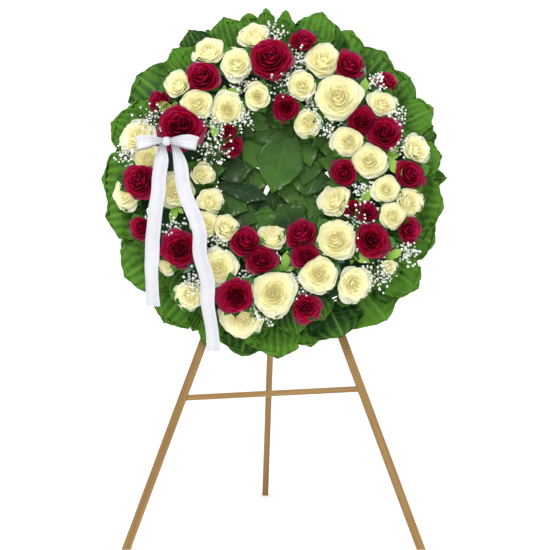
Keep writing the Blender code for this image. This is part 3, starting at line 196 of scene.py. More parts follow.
RED_SPRAYS: dict[str, tuple[tuple[Bloom, ...], tuple[Sprig, ...]]] = {
    "red_roses_top": ((Bloom(-7, 266, 84, 12, FULL), Bloom(66, 308, 53, 0, CUP)), ()),
    "red_rose_upper_left": ((Bloom(-156, 224, 68, 6),), ()),
    "red_roses_left": (
        (Bloom(-251, 176, 44, -10, CUP), Bloom(-202, 114, 84, 8, FULL)), ()),
    "red_roses_inner_left": (
        (Bloom(-97, 106, 35, -6, BUD), Bloom(-88, 73, 42, -4, CUP)), ()),
    "red_rose_far_left": ((Bloom(-293, -7, 70, 6, FULL),), ()),
    "red_roses_upper_right": ((Bloom(165, 253, 62, 4), Bloom(249, 218, 44, 0, CUP)), ()),
    "red_rose_inner_top": ((Bloom(26, 156, 55, 0, CUP),), ()),
    "red_roses_right": ((Bloom(191, 128, 59), Bloom(242, 99, 68, 6)), ()),
    "red_roses_inner_right": (
        (Bloom(150, 13, 55, 2), Bloom(167, -64, 37, -6, BUD), Bloom(202, -75, 42, -4, CUP),
         Bloom(211, -136, 68, 6)), ()),
    "red_roses_far_right": ((Bloom(297, 9, 59), Bloom(288, -108, 51, 0, CUP)), ()),
    "red_roses_lower_left": ((Bloom(-288, -108, 44, 0, CUP), Bloom(-205, -156, 70, 4)), ()),
    "red_roses_inner_bottom": ((Bloom(-59, -136, 62, 4), Bloom(-26, -176, 59, 2)), ()),
    "red_rose_bottom": ((Bloom(-81, -264, 70, 12, FULL),), ()),
    "red_roses_inner_lower_right": ((Bloom(59, -119, 64, 4), Bloom(68, -167, 53, 4)), ()),
    "red_rose_bottom_right": ((Bloom(70, -284, 53),), ()),
}

FILLERS: dict[str, tuple[tuple[Tuft, ...], tuple[Sprig, ...]]] = {
    "filler_spray_upper_left": (
        (Tuft(-268, 125, 26), Tuft(-319, 55, 18), Tuft(-136, 125, 22), Tuft(-132, 66, 30)),
        (Sprig(-262, -52, 36, 200),)),
    "filler_spray_top": (
        (Tuft(-70, 213, 22), Tuft(-70, 136, 22), Tuft(0, 319, 24), Tuft(55, 264, 20), Tuft(20, 213, 28)),
        ()),
    "filler_spray_upper_right": (
        (Tuft(84, 167, 18), Tuft(117, 114, 24), Tuft(227, 213, 18), Tuft(266, 141, 18)),
        (Sprig(191, 231, 40, 30), Sprig(152, 134, 40, 160))),
    "filler_spray_right": (
        (Tuft(271, 77, 20), Tuft(194, -24, 18), Tuft(183, -99, 34), Tuft(290, -161, 20)), ()),
    "filler_spray_bottom_right": (
        (Tuft(227, -209, 28), Tuft(53, -235, 26), Tuft(-22, -288, 28)),
        (Sprig(132, -196, 52, 170), Sprig(103, -165, 34, 200))),
    "filler_spray_bottom_left": (
        (Tuft(-213, -112, 20), Tuft(-169, -222, 22), Tuft(-121, -145, 18), Tuft(-59, -221, 18)),
        (Sprig(-180, -189, 42, 215),)),
}

# Collar leaves: clock angle in degrees, tip radius, width and depth of the torn edge
COLLAR_LEAVES = (
    (4.0, 388, 30, 4), (15.5, 392, 66, 6), (26.5, 386, 78, 6), (40.0, 384, 84, 8), (51.5, 390, 96, 9),
    (64.5, 392, 62, 5), (72.5, 380, 52, 6), (80.5, 376, 62, 6), (87.5, 384, 34, 3), (98.0, 378, 92, 9),
    (110.0, 378, 88, 8), (126.5, 392, 78, 8), (140.5, 390, 100, 10), (156.0, 370, 104, 9),
    (167.0, 368, 60, 8), (178.5, 386, 74, 10), (190.5, 386, 82, 6), (203.0, 386, 38, 4),
    (218.5, 388, 92, 7), (229.0, 350, 60, 5), (238.0, 386, 102, 9), (258.5, 376, 92, 8),
    (272.0, 380, 106, 9), (290.5, 384, 80, 7), (309.0, 392, 106, 10), (323.5, 374, 58, 5),
    (331.5, 394, 60, 4), (343.5, 382, 64, 6), (351.5, 384, 52, 5), (357.5, 384, 30, 3),
)

# Leaves across the hole: level out, root clock angle and leaves (base, tip, width, cut)
CENTRE_LEAVES = {
    "centre_leaves_top": (47.5, 24.0, (
        ((34, 126), (-4, -26), 96, 7), ((62, 118), (-66, 97), 34, 2), ((60, 120), (82, 34), 50, 3))),
    "centre_leaves_left": (41.5, 268.0, (
        ((-128, 20), (-44, 36), 56, 5), ((-126, -2), (-6, -36), 40, 3), ((-122, -24), (-56, -62), 62, 6))),
    "centre_leaves_right": (36.0, 96.0, (
        ((128, 30), (82, 92), 44, 4), ((126, 6), (30, 10), 66, 5), ((124, -16), (78, -22), 34, 2))),
    "centre_leaves_bottom": (31.0, 160.0, (
        ((58, -118), (10, -44), 84, 9), ((30, -128), (-48, -66), 52, 4))),
}

# Smaller leaves that fill the hole behind those, with the same fields
CENTRE_FILLING = {
    "centre_leaves_top": (((-6, 132), (-62, 24), 66, 5), ((92, 104), (66, -8), 62, 4),
                          ((40, 130), (46, 20), 60, 5)),
    "centre_leaves_left": (((-128, 58), (-34, 92), 60, 4), ((-126, -44), (-34, -88), 62, 5),
                           ((-130, 34), (-34, -22), 62, 3), ((-118, -70), (-76, -18), 44, 3),
                           ((-104, 12), (2, 8), 52, 3)),
    "centre_leaves_right": (((132, 56), (60, 44), 60, 4), ((126, -44), (44, -56), 72, 5),
                            ((130, -10), (52, -24), 56, 3), ((118, 74), (84, 20), 46, 3),
                            ((112, -24), (4, -16), 62, 4)),
    "centre_leaves_bottom": (((-24, -132), (-14, -44), 64, 4), ((92, -98), (44, -34), 58, 5),
                             ((4, -134), (34, -62), 58, 4), ((-66, -116), (-50, -40), 56, 4),
                             ((14, -120), (-8, -8), 74, 4), ((-40, -110), (-28, -14), 58, 4)),
}

# The clock angles between which each group's leaves lie over the foam's inner edge
CENTRE_RIMS = {
    "centre_leaves_top": (-40, 50),
    "centre_leaves_left": (230, 305),
    "centre_leaves_right": (65, 125),
    "centre_leaves_bottom": (140, 215),
}


# Places on the wreath

def place(across: float, up: float, out: float) -> np.ndarray:
    """A point on the wreath as an array of (across, up, out)."""
    return np.array([across, up, out], float)


def clock(angle: float, radius: float, out: float) -> np.ndarray:
    """A point on the wreath by its clock angle in degrees (0 at the top, 90 at the right)."""
    turn = math.radians(angle)
    return place(radius * math.sin(turn), radius * math.cos(turn), out)


def unit(vectors: np.ndarray) -> np.ndarray:
    """Vectors at length one, along the last axis."""
    vectors = np.asarray(vectors, float)
    return vectors / np.maximum(np.linalg.norm(vectors, axis=-1, keepdims=True), TINY)


def to_world(points: np.ndarray) -> np.ndarray:
    """Wreath places in millimetres as world points in metres: START is the middle of the ring's back."""
    points = np.asarray(points, float) * MM
    return START + points[..., :1] * (1.0, 0.0, 0.0) + points[..., 1:2] * UP + points[..., 2:3] * OUT


def from_world(points: np.ndarray) -> np.ndarray:
    """World points in metres as wreath places in millimetres: the inverse of to_world."""
    offset = (np.asarray(points, float) - START) / MM
    return np.stack([offset[..., 0], offset @ UP, offset @ OUT], axis=-1)


def node_points(node: str) -> np.ndarray:
    """The vertices of one of the model's nodes, in world metres."""
    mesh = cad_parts[node].data
    points = np.zeros(len(mesh.vertices) * 3)
    mesh.vertices.foreach_get("co", points)
    return points.reshape(-1, 3)


def foam_root(across: float, up: float, margin: float, depth: float) -> np.ndarray:
    """The place in the foam for a flower's stem: straight behind it, or as near as the ring allows.

    Args:
        across: The flower's place across the wreath.
        up: Its place up the wreath.
        margin: How far the stem stays inside the foam's edges.
        depth: How deep it goes in.

    Returns:
        The stem's lower end.
    """
    reach = math.hypot(across, up)
    inside = min(max(reach, FOAM_INNER + margin), FOAM_OUTER - margin) / reach
    return place(across * inside, up * inside, FOAM_FACE - depth)


def smooth(low: float, high: float, value: np.ndarray) -> np.ndarray:
    """A smooth step from 0 at low to 1 at high."""
    part = np.clip((value - low) / (high - low), 0.0, 1.0)
    return part * part * (3 - 2 * part)


def noise(seed: float, count: int) -> np.ndarray:
    """Repeatable values from 0 to 1: the fraction of a large sine of the index and the seed."""
    waves = np.sin(np.arange(count) * INDEX_STEP + seed * SEED_STEP)
    return np.modf(np.abs(waves * SINE_SCALE))[0]


def chance(seed: float) -> float:
    """One repeatable value from 0 to 1."""
    return float(noise(seed, 1)[0])


def quadratic(first: np.ndarray, middle: np.ndarray, last: np.ndarray, part: np.ndarray) -> np.ndarray:
    """The point at a part of the quadratic curve from first to last that leans towards middle."""
    return (1 - part) ** 2 * first + 2 * part * (1 - part) * middle + part ** 2 * last


# Meshes

@dataclass
class Surfaces:
    """A pile of grids that becomes one mesh, with a UV map and the attributes layer and shade."""
    points: list[np.ndarray] = field(default_factory=list)
    faces: list[np.ndarray] = field(default_factory=list)
    uvs: list[np.ndarray] = field(default_factory=list)
    layers: list[np.ndarray] = field(default_factory=list)
    shades: list[np.ndarray] = field(default_factory=list)
    slots: list[np.ndarray] = field(default_factory=list)
    count: int = 0

    def add(self, grids: np.ndarray, slot: int = 0, layer: float | np.ndarray = 0.0,
            shade: float | np.ndarray = 0.5, around: bool = False, thick: float = 0.0) -> None:
        """Add grids of points, each of which becomes rows and columns of quads.

        Args:
            grids: Points shaped (grids, rows, columns, 3), or one grid without the first axis.
            slot: The material slot of their faces.
            layer: One number for each grid: 0 at a flower's heart and 1 at its rim.
            shade: One number for each grid that varies its colour.
            around: Whether the last column joins the first.
            thick: The thickness of a leaf or petal, which makes a closed shell of it.
        """
        if grids.ndim == 3:
            grids = grids[None]
        sides = np.linspace(0, 1, grids.shape[2])
        if thick:
            grids, around = shell(grids, thick), True
            sides = np.concatenate([sides, sides[::-1]])
        total, rows, columns = grids.shape[:3]
        index = np.arange(total * rows * columns).reshape(total, rows, columns) + self.count
        after = np.roll(index, -1, axis=2) if around else index[:, :, 1:]
        here = index if around else index[:, :, :-1]
        quads = np.stack([here[:, :-1], after[:, :-1], after[:, 1:], here[:, 1:]], axis=-1)
        across = sides[None, None, :] * np.ones((total, rows, 1))
        along = np.linspace(0, 1, rows)[None, :, None] * np.ones((total, 1, columns))
        self.points.append(grids.reshape(-1, 3))
        self.uvs.append(np.stack([across, along], axis=-1).reshape(-1, 2))
        self.faces.append(quads.reshape(-1, 4))
        self.slots.append(np.full(quads.size // 4, slot))
        spread = np.ones(total)
        self.layers.append(np.repeat(layer * spread, rows * columns))
        self.shades.append(np.repeat(shade * spread, rows * columns))
        self.count += total * rows * columns

    def stem(self, path: np.ndarray, radii: float | np.ndarray, slot: int, shade: float = 0.5,
             sides: int = 6) -> None:
        """Add a stem along a path.

        Args:
            path: The points along its middle.
            radii: One radius, or one for each point.
            slot: The material slot.
            shade: A number that varies its colour.
            sides: How many sides it has.
        """
        self.add(tube(path, radii * np.ones(len(path)), sides), slot, shade=shade, around=True)

    def build(self, name: str, materials: Sequence[bpy.types.Material]) -> bpy.types.Object:
        """The mesh object, in world metres.

        Args:
            name: The object's name.
            materials: One material for each slot.

        Returns:
            The new object, linked to the scene.
        """
        points = to_world(np.vstack(self.points))
        faces = np.vstack(self.faces)
        mesh = bpy.data.meshes.new(name)
        mesh.from_pydata(points.tolist(), [], faces.tolist())
        for material in materials:
            mesh.materials.append(material)
        mesh.polygons.foreach_set("material_index", np.concatenate(self.slots).astype(np.int32))
        mesh.polygons.foreach_set("use_smooth", np.ones(len(faces), bool))
        uv = mesh.uv_layers.new(name="UVMap")
        uv.data.foreach_set("uv", np.vstack(self.uvs)[faces.ravel()].ravel())
        for label, values in (("layer", self.layers), ("shade", self.shades)):
            attribute = mesh.attributes.new(label, "FLOAT", "POINT")
            attribute.data.foreach_set("value", np.concatenate(values).astype(np.float32))
        mesh.update()
        return linked(bpy.data.objects.new(name, mesh))


def linked(item: bpy.types.Object) -> bpy.types.Object:
    """An object, put in the scene."""
    bpy.context.scene.collection.objects.link(item)
    return item


def shell(grids: np.ndarray, thick: float) -> np.ndarray:
    """Closed shells of thin grids: each goes round its front and back to the start.

    The back is the front moved along its normal by the thickness, which is nothing at the first and
    last rows, so that the ends close.

    Args:
        grids: Points shaped (grids, rows, columns, 3).
        thick: The shell's thickness.

    Returns:
        The shells, with twice the columns.
    """
    normal = unit(np.cross(np.gradient(grids, axis=2), np.gradient(grids, axis=1)))
    depth = np.full(grids.shape[1], thick)
    depth[[0, -1]] = 0.0
    back = grids - normal * depth[None, :, None, None]
    return np.concatenate([grids, back[:, :, ::-1]], axis=2)


def hand_over(item: bpy.types.Object, node: str) -> None:
    """Let a finished piece ride on the stand in place of one of the model's nodes, and report it.

    Args:
        item: The piece.
        node: The node that it replaces.
    """
    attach(item, "stand")
    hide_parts(node)
    LOG.info("%s: %d faces", item.name, len(item.data.polygons))


def tube(path: np.ndarray, radii: np.ndarray, sides: int = 6) -> np.ndarray:
    """A tube of circles square to a path, which closes to a point at each end.

    Args:
        path: The points along its middle.
        radii: A radius for each point.
        sides: How many points each circle has.

    Returns:
        The grid of points.
    """
    path = np.asarray(path, float)
    path = np.vstack([path[:1], path, path[-1:]])
    radii = np.concatenate([[0.0], radii, [0.0]])
    along = unit(np.gradient(path, axis=0) + NUDGE)
    side = unit(np.cross(along, TUBE_ASIDE))
    other = np.cross(along, side)
    turn = np.arange(sides) * 2 * math.pi / sides
    ring = np.cos(turn)[None, :, None] * side[:, None] + np.sin(turn)[None, :, None] * other[:, None]
    return path[:, None] + ring * radii[:, None, None]


def curve_between(start: np.ndarray, middle: np.ndarray, end: np.ndarray, steps: int = 8) -> np.ndarray:
    """Points at even steps of the quadratic curve from start to end that leans towards middle."""
    return quadratic(start, middle, end, np.linspace(0, 1, steps)[:, None])


def leaf(base: np.ndarray, tip: np.ndarray, face: np.ndarray, width: float, *, cut: float = 0.0,
         bend: float = 0.0, ribs: float = 0.0, fold: float = 0.0, wave: float = 0.0, point: float = 0.35,
         seed: float = 0.0, pleats: float = 0.0, pleat: float = 0.0, rows: int = 20,
         columns: int = 13) -> np.ndarray:
    """A leaf's grid from base to tip.

    Along the leaf the half-width is the sine of an angle that starts near zero, is widest past the
    middle and closes over the last part of the length.  The edge is cut by teeth and waves, the blade
    is folded along its midrib, ribbed by side veins that run forward, and bent along its length.

    Args:
        base: Where the blade starts.
        tip: Where it ends.
        face: The way that its upper side looks.
        width: Its greatest width.
        cut: The depth of the torn edge.
        bend: How far the tip rises out of the straight line.
        ribs: The height of the ribs between side veins.
        fold: How far the edges rise over the midrib.
        wave: The height of the waves along the edges.
        point: The share of the length over which the leaf closes to its point.
        seed: A number that varies the edge.
        pleats: How many folds run along the blade on each side of the midrib.
        pleat: The height of those folds, which also scallop the leaf's end.
        rows: Steps along the leaf.
        columns: Steps across it.

    Returns:
        The grid of points, rows by columns.
    """
    base, tip = np.asarray(base, float), np.asarray(tip, float)
    length = float(np.linalg.norm(tip - base))
    along = (tip - base) / length
    face = unit(np.asarray(face, float) - along * float(np.dot(face, along)))
    side = np.cross(along, face)
    part = np.linspace(0, 1, rows)[:, None]
    across = np.linspace(-1, 1, columns)[None, :]
    edge = np.abs(across)
    swell = np.sin(math.pi * (0.02 + (0.70 if pleats else 0.78) * part ** 0.85))
    crease = np.cos(2 * math.pi * pleats * across + 0.8 * math.sin(seed)) if pleats else 0.0 * across
    close = np.sqrt(np.clip(1 - np.clip((part - (1 - point)) / point, 0, 1) ** 2, 0, 1))
    teeth = (np.sin(part * (19 + 3 * math.sin(seed)) + seed) + 0.5 * np.sin(part * 41 + 2 * seed)
             + 0.35 * np.sin(part * 67 + across * 2 + seed * 3))
    belly = np.sin(math.pi * part) ** 0.5
    half = 0.5 * width * swell * close + cut * 0.34 * teeth * belly
    reach = part * length * (1 - 0.10 * across ** 2 * part + 0.042 * crease * part ** 4)
    veins = np.cos(2 * math.pi * (part * VEINS - edge * VEIN_SLOPE))
    rise = (bend * part ** 2 + fold * edge ** 1.3 * belly + ribs * veins * edge ** 0.5
            + wave * edge ** 2 * np.sin(part * 17 + seed + across) * part
            + pleat * crease * np.sin(0.5 * math.pi * part) ** 0.7)
    return base + reach[..., None] * along + (across * half)[..., None] * side + rise[..., None] * face


# The arrangement

@dataclass
class Head:
    """A rose's head: its middle, half width and facing on the wreath, and how far it has opened."""
    node: str
    middle: np.ndarray
    radius: float
    facing: np.ndarray
    form: RoseForm

    @classmethod
    def from_bloom(cls, node: str, bloom: Bloom) -> "Head":
        """The head of a bloom, standing on the band's crown and tilted away from the band's middle.

        Args:
            node: The node that it belongs to.
            bloom: The bloom.

        Returns:
            The head.
        """
        radius = FULLNESS * bloom.width / 2
        reach = math.hypot(bloom.across, bloom.up)
        part = max(-1.0, min(1.0, (reach - BAND_MIDDLE) / BAND_HALF))
        crown = CROWN_BASE + CROWN_RISE * math.sqrt(1 - CROWN_CURVE * part * part)
        out = crown + bloom.lift - SINK_SHARE * radius
        tilt = EDGE_TILT * part * abs(part) ** 0.5
        radial = place(bloom.across / reach, bloom.up / reach, 0)
        facing = unit(math.sin(tilt) * radial + (math.cos(tilt) + FRONT_SHARE) * FORWARD)
        return cls(node, place(bloom.across, bloom.up, out), radius, facing, bloom.form)

    def axes(self) -> tuple[np.ndarray, np.ndarray]:
        """Two directions square to the facing and to each other."""
        side = unit(np.cross(self.facing, HEAD_ASIDE))
        return side, np.cross(self.facing, side)


@dataclass
class Arrangement:
    """Every rose's head, settled among its neighbours as in the model's source."""
    heads: list[Head] = field(default_factory=list)
    rounds: int = 60
    nearness: float = 0.72
    settle_step: float = 0.15
    lowest: float = FLOOR_OUT + 12.0
    highest: float = 124.0
    overlap: float = 1.5
    least_room: float = 4.0
    hardness: float = 6.0

    def __post_init__(self) -> None:
        """Make the heads and settle them."""
        for node, (blooms, _) in {**CREAM_SPRAYS, **RED_SPRAYS}.items():
            self.heads.extend(Head.from_bloom(node, bloom) for bloom in blooms)
        self.centres = np.array([head.middle for head in self.heads])
        self.spans = np.array([head.radius for head in self.heads])
        self._settle()
        for head, middle in zip(self.heads, self.centres):
            head.middle = middle

    def _settle(self) -> None:
        """Push apart, mostly in depth, heads whose middles are nearer than their sizes allow."""
        for _ in range(self.rounds):
            for first in range(len(self.centres)):
                for second in range(first + 1, len(self.centres)):
                    apart = self.centres[second] - self.centres[first]
                    need = self.nearness * (self.spans[first] + self.spans[second])
                    distance = float(np.linalg.norm(apart))
                    if distance < need:
                        push = unit(apart * MOSTLY_OUT) * (need - distance) * self.settle_step
                        self.centres[first] -= push
                        self.centres[second] += push
            self.centres[:, 2] = np.clip(self.centres[:, 2], self.lowest, self.highest)

    def press(self, points: np.ndarray, head: Head) -> np.ndarray:
        """Draw a head's points in along their rays, so that each stays on its side of the neighbours.

        Between two heads stands a wall, where their spheres would meet, and one more behind the head is
        the foliage.  A point's length l on its ray becomes l / (1 + (l / reach) ^ h) ^ (1 / h), where
        reach is the length at the nearest wall and h is the hardness.

        Args:
            points: The head's points, in any shape that ends in three.
            head: The head that they belong to.

        Returns:
            The pressed points, in the same shape.
        """
        flat = points.reshape(-1, 3)
        apart = self.centres - head.middle
        distance = np.linalg.norm(apart, axis=1)
        near = (distance > NUDGE) & (distance < head.radius + self.spans + 12.0)
        normals = apart[near] / distance[near, None]
        walls = (distance[near] ** 2 + head.radius ** 2 - self.spans[near] ** 2) / (2 * distance[near])
        normals = np.vstack([normals, -FORWARD])
        walls = np.append(np.maximum(walls + self.overlap, self.least_room), head.middle[2] - FLOOR_OUT)
        ray = flat - head.middle
        length = np.maximum(np.linalg.norm(ray, axis=1), NUDGE)
        ray = ray / length[:, None]
        along = ray @ normals.T
        reach = np.where(along > NUDGE, walls / np.maximum(along, NUDGE), FAR).min(axis=1)
        length = length / (1 + (length / reach) ** self.hardness) ** (1 / self.hardness)
        return (head.middle + ray * length[:, None]).reshape(points.shape)

    def push_clear(self, points: np.ndarray, margin: float, share: float) -> np.ndarray:
        """Move points out of the heads near them, always a little forward.

        Args:
            points: The points to move.
            margin: How far they stay from a head's surface.
            share: The share of a head's radius that counts as solid.

        Returns:
            The moved points, in rows of three.
        """
        points = np.array(points, float).reshape(-1, 3)
        for _ in range(8):
            for head in self.heads:
                apart = points - head.middle
                distance = np.linalg.norm(apart, axis=1)
                need = share * head.radius + margin
                inside = distance < need
                moved = head.middle + unit(apart + 6.0 * FORWARD) * need
                points = np.where(inside[:, None], moved, points)
        return points

    def of(self, node: str) -> list[Head]:
        """The heads of a node."""
        return [head for head in self.heads if head.node == node]


# Finishes

class Number:
    """A number's socket in a shader: arithmetic on it adds Math nodes."""

    def __init__(self, tree: "Shader", socket: bpy.types.NodeSocket) -> None:
        """Wrap a socket of a tree."""
        self.tree, self.socket = tree, socket

    def math(self, operation: str, other: "Number | float | None" = None, flip: bool = False) -> "Number":
        """The result of a Math node.

        Args:
            operation: What the node does.
            other: The second number, where the operation has one.
            flip: Whether the other number comes first.

        Returns:
            The result.
        """
        values = (other, self) if flip else (self, other)
        inputs = {index: value for index, value in enumerate(values) if value is not None}
        node = self.tree.node("ShaderNodeMath", {"operation": operation}, inputs)
        return Number(self.tree, node.outputs[0])

    def __add__(self, other: "Number | float") -> "Number":
        """The sum."""
        return self.math("ADD", other)

    __radd__ = __add__

    def __sub__(self, other: "Number | float") -> "Number":
        """The difference."""
        return self.math("SUBTRACT", other)

    def __rsub__(self, other: float) -> "Number":
        """The difference from a plain number."""
        return self.math("SUBTRACT", other, flip=True)

    def __mul__(self, other: "Number | float") -> "Number":
        """The product."""
        return self.math("MULTIPLY", other)

    __rmul__ = __mul__

    def __pow__(self, other: float) -> "Number":
        """The power."""
        return self.math("POWER", other)

    def clamped(self) -> "Number":
        """The number kept from 0 to 1."""
        return self.math("MINIMUM", 1.0).math("MAXIMUM", 0.0)

    def sine(self) -> "Number":
        """The sine."""
        return self.math("SINE")


class Shader:
    """A material with one Principled shader, and the method that adds any other node to it."""

    def __init__(self, name: str) -> None:
        """Start a material."""
        self.material = bpy.data.materials.new(name)
        self.material.use_nodes = True
        self.nodes = self.material.node_tree.nodes
        self.links = self.material.node_tree.links
        self.principled = self.nodes["Principled BSDF"]

    def node(self, kind: str, settings: Optional[dict] = None,
             inputs: Optional[dict] = None) -> bpy.types.Node:
        """Add a node.

        Args:
            kind: Its type.
            settings: Its properties.
            inputs: Values or links by socket name or number.

        Returns:
            The node.
        """
        node = self.nodes.new(kind)
        for key, value in (settings or {}).items():
            setattr(node, key, value)
        for key, value in (inputs or {}).items():
            self.feed(node.inputs[key], value)
        return node

    def feed(self, socket: bpy.types.NodeSocket, value: object) -> None:
        """Set a socket's value, or link it to another socket.

        Args:
            socket: The socket to feed.
            value: A number, a colour, a vector or another socket.
        """
        if isinstance(value, Number):
            value = value.socket
        if isinstance(value, bpy.types.NodeSocket):
            self.links.new(value, socket)
        elif isinstance(value, (tuple, list)) and socket.type == "RGBA":
            socket.default_value = (*value, 1.0)
        else:
            socket.default_value = value

    def attribute(self, name: str) -> Number:
        """A float attribute of the mesh."""
        return Number(self, self.node("ShaderNodeAttribute", {"attribute_name": name}).outputs["Fac"])

    def uv(self) -> tuple[Number, Number]:
        """The two coordinates of the mesh's UV map."""
        split = self.node("ShaderNodeSeparateXYZ", None, {0: self.node("ShaderNodeUVMap").outputs[0]})
        return Number(self, split.outputs[0]), Number(self, split.outputs[1])

    def mapped(self, scale: tuple[float, float, float], turn: tuple[float, float, float] = (0, 0, 0),
               source: str = "Object") -> bpy.types.NodeSocket:
        """Coordinates turned and then scaled.

        Args:
            scale: The scale along each axis.
            turn: The turn about each axis.
            source: Which coordinates they are.

        Returns:
            The coordinates' socket.
        """
        coordinates = self.node("ShaderNodeTexCoord").outputs[source]
        turned = self.node("ShaderNodeMapping", None, {"Vector": coordinates, "Rotation": turn})
        scaled = self.node("ShaderNodeMapping", None, {"Vector": turned.outputs[0], "Scale": scale})
        return scaled.outputs[0]

    def noise(self, vector: bpy.types.NodeSocket, scale: float, detail: float = 4.0,
              rough: float = 0.55) -> Number:
        """A noise texture's value.

        Args:
            vector: The coordinates.
            scale: How fine it is.
            detail: How many finer layers are added.
            rough: How much each of them counts.

        Returns:
            The value.
        """
        node = self.node("ShaderNodeTexNoise", None,
                         {"Vector": vector, "Scale": scale, "Detail": detail, "Roughness": rough})
        return Number(self, node.outputs["Fac"])

    def cloud(self, scale: float, detail: float) -> Number:
        """Noise in the object's own coordinates."""
        return self.noise(self.mapped((1.0, 1.0, 1.0)), scale, detail)

    def mix(self, part: "Number | float", first: object, second: object) -> bpy.types.NodeSocket:
        """A colour between two colours."""
        node = self.node("ShaderNodeMix", {"data_type": "RGBA"}, {0: part, 6: first, 7: second})
        return node.outputs[2]

    def finish(self, colour: object, roughness: object, bump: Optional[Number] = None,
               height: float = 0.001, **plain: object) -> bpy.types.Material:
        """Feed the Principled shader.

        Args:
            colour: Base colour.
            roughness: Roughness.
            bump: Height that feeds a Bump node.
            height: The Bump node's distance in metres.
            plain: Other sockets' values, under their names with underscores for spaces.

        Returns:
            The material.
        """
        self.feed(self.principled.inputs["Base Color"], colour)
        self.feed(self.principled.inputs["Roughness"], roughness)
        for name, value in plain.items():
            self.feed(self.principled.inputs[name.replace("_", " ")], value)
        if bump is not None:
            node = self.node("ShaderNodeBump", None, {"Height": bump, "Distance": height, "Strength": 0.6})
            self.feed(self.principled.inputs["Normal"], node.outputs[0])
        return self.material


@dataclass(frozen=True)
class PetalFinish:
    """Petals of one colour of rose, from the heart to the outer guard petals.

    Through is how far red, green and blue light go in, and glow is the faint light of its own that
    stands for light coming through many thin petals.
    """
    name: str
    heart: Colour
    body: Colour
    edge: Colour
    guard: Colour
    roughness: float
    through: tuple[float, float, float]
    glow: float = 0.0

    def material(self) -> bpy.types.Material:
        """Colour runs from the heart out by layer, from base to edge by UV, with fine streaks along it."""
        shader = Shader(self.name)
        layer = shader.attribute("layer")
        _, along = shader.uv()
        shade = shader.attribute("shade")
        streaks = shader.noise(shader.mapped((34.0, 2.2, 1.0), source="UV"), 1.0)
        blotch = shader.cloud(42.0, 2.0)
        # Inner petals take the heart colour: in the red finish a painted shade of the head's depths, in the
        # cream finish its own yellower tint
        heart_shade_and_tint = (layer * 1.5 + shade * 0.3 - 0.15).clamped()
        inner = shader.mix(heart_shade_and_tint, self.heart, self.body)
        # Petal ends take the edge colour: in the red finish a painted highlight, in the cream finish the
        # paler ivory of its edges
        tip = (along ** 3.0 * (0.25 + 0.6 * layer) + 0.25 * streaks - 0.12).clamped()
        tipped = shader.mix(tip, inner, self.edge)
        outermost = ((layer - 0.8) * 3.2 * (1 - along) + 0.45 * (blotch - 0.55)).clamped()
        outer = shader.mix(outermost, tipped, self.guard)
        return shader.finish(outer, self.roughness + 0.12 * (blotch - 0.5), streaks, 0.0006,
                             Specular_IOR_Level=0.25, Subsurface_Weight=0.6, Subsurface_Scale=0.012,
                             Subsurface_Radius=self.through, Emission_Color=self.edge,
                             Emission_Strength=self.glow)


@dataclass(frozen=True)
class LeafFinish:
    """Leaves: their deep, light and vein colours, side veins, gloss, and pleats along the blade, whose light
    and shade are painted in stripes.
    """
    name: str
    deep: Colour
    light: Colour
    vein: Colour
    roughness: float
    veins: float = VEINS
    coat: float = 0.0
    pleats: float = 0.0
    vein_share: float = 0.42

    def material(self) -> bpy.types.Material:
        """Side veins run forward from the midrib: the sine of the length less a share of the width."""
        shader = Shader(self.name)
        across, along = shader.uv()
        shade = shader.attribute("shade")
        edge = (across * 2.0 - 1.0).math("ABSOLUTE")
        wave = ((along * self.veins - edge * VEIN_SLOPE) * (2 * math.pi)).sine()
        lines = ((wave - 0.90) * 8.0).clamped() * (1 - edge * 0.6)
        midrib = ((0.055 - edge) * 30.0).clamped()
        blotch = shader.cloud(26.0, 5.0)
        fine = shader.cloud(260.0, 3.0)
        # Stripes across the blade, one pair for each pleat: painted light and shade of the folds, with the
        # ridges' own lighter tone
        pleat_tone_and_painted_shade = (across * (4 * math.pi * self.pleats) + math.pi / 2).sine()
        pleat_tone_and_painted_shade = pleat_tone_and_painted_shade * (0.22 if self.pleats else 0.0)
        # Painted shade: darker towards the leaf's base, where the flowers shade it, and lighter towards its
        # tip
        painted_base_shade = 0.8 * (along - 0.62)
        # The mix from deep to light green: tone that differs from leaf to leaf and in blotches, with the
        # painted light and shade of the pleats and the base
        tone_and_painted_light = (shade * 1.2 + 1.1 * (blotch - 0.5) + pleat_tone_and_painted_shade + painted_base_shade).clamped()
        body = shader.mix(tone_and_painted_light, self.deep, self.light)
        veined = shader.mix(((lines + midrib * 1.4) * self.vein_share).clamped(), body, self.vein)
        relief = 0.5 * fine + 0.8 * blotch - 1.1 * lines - 1.5 * midrib
        return shader.finish(veined, self.roughness + 0.22 * (blotch - 0.5), relief, 0.0012,
                             Coat_Weight=self.coat, Coat_Roughness=0.22, Specular_IOR_Level=0.12)


@dataclass(frozen=True)
class WoodFinish:
    """Sawn wood whose grain runs along a lath."""
    name: str
    pale: Colour
    dark: Colour
    turn: tuple[float, float, float]

    def material(self) -> bpy.types.Material:
        """Long streaks of noise along the lath, with finer pores across them."""
        shader = Shader(self.name)
        grain = shader.noise(shader.mapped((90.0, 90.0, 2.6), self.turn), 1.0, 6.0, 0.6)
        pores = shader.noise(shader.mapped((520.0, 520.0, 14.0), self.turn), 1.0, 2.0)
        bands = shader.noise(shader.mapped((22.0, 22.0, 1.1), self.turn), 1.0, 2.0)
        amount = ((grain - 0.34) * 2.4 + 0.8 * (bands - 0.5)).clamped()
        colour = shader.mix(amount, self.dark, self.pale)
        worn = shader.mix(((pores - 0.62) * 3.0).clamped(), colour, tuple(0.55 * part for part in self.dark))
        return shader.finish(worn, 0.52 + 0.2 * (grain - 0.5), grain * 0.7 + pores * 0.3, 0.0006)


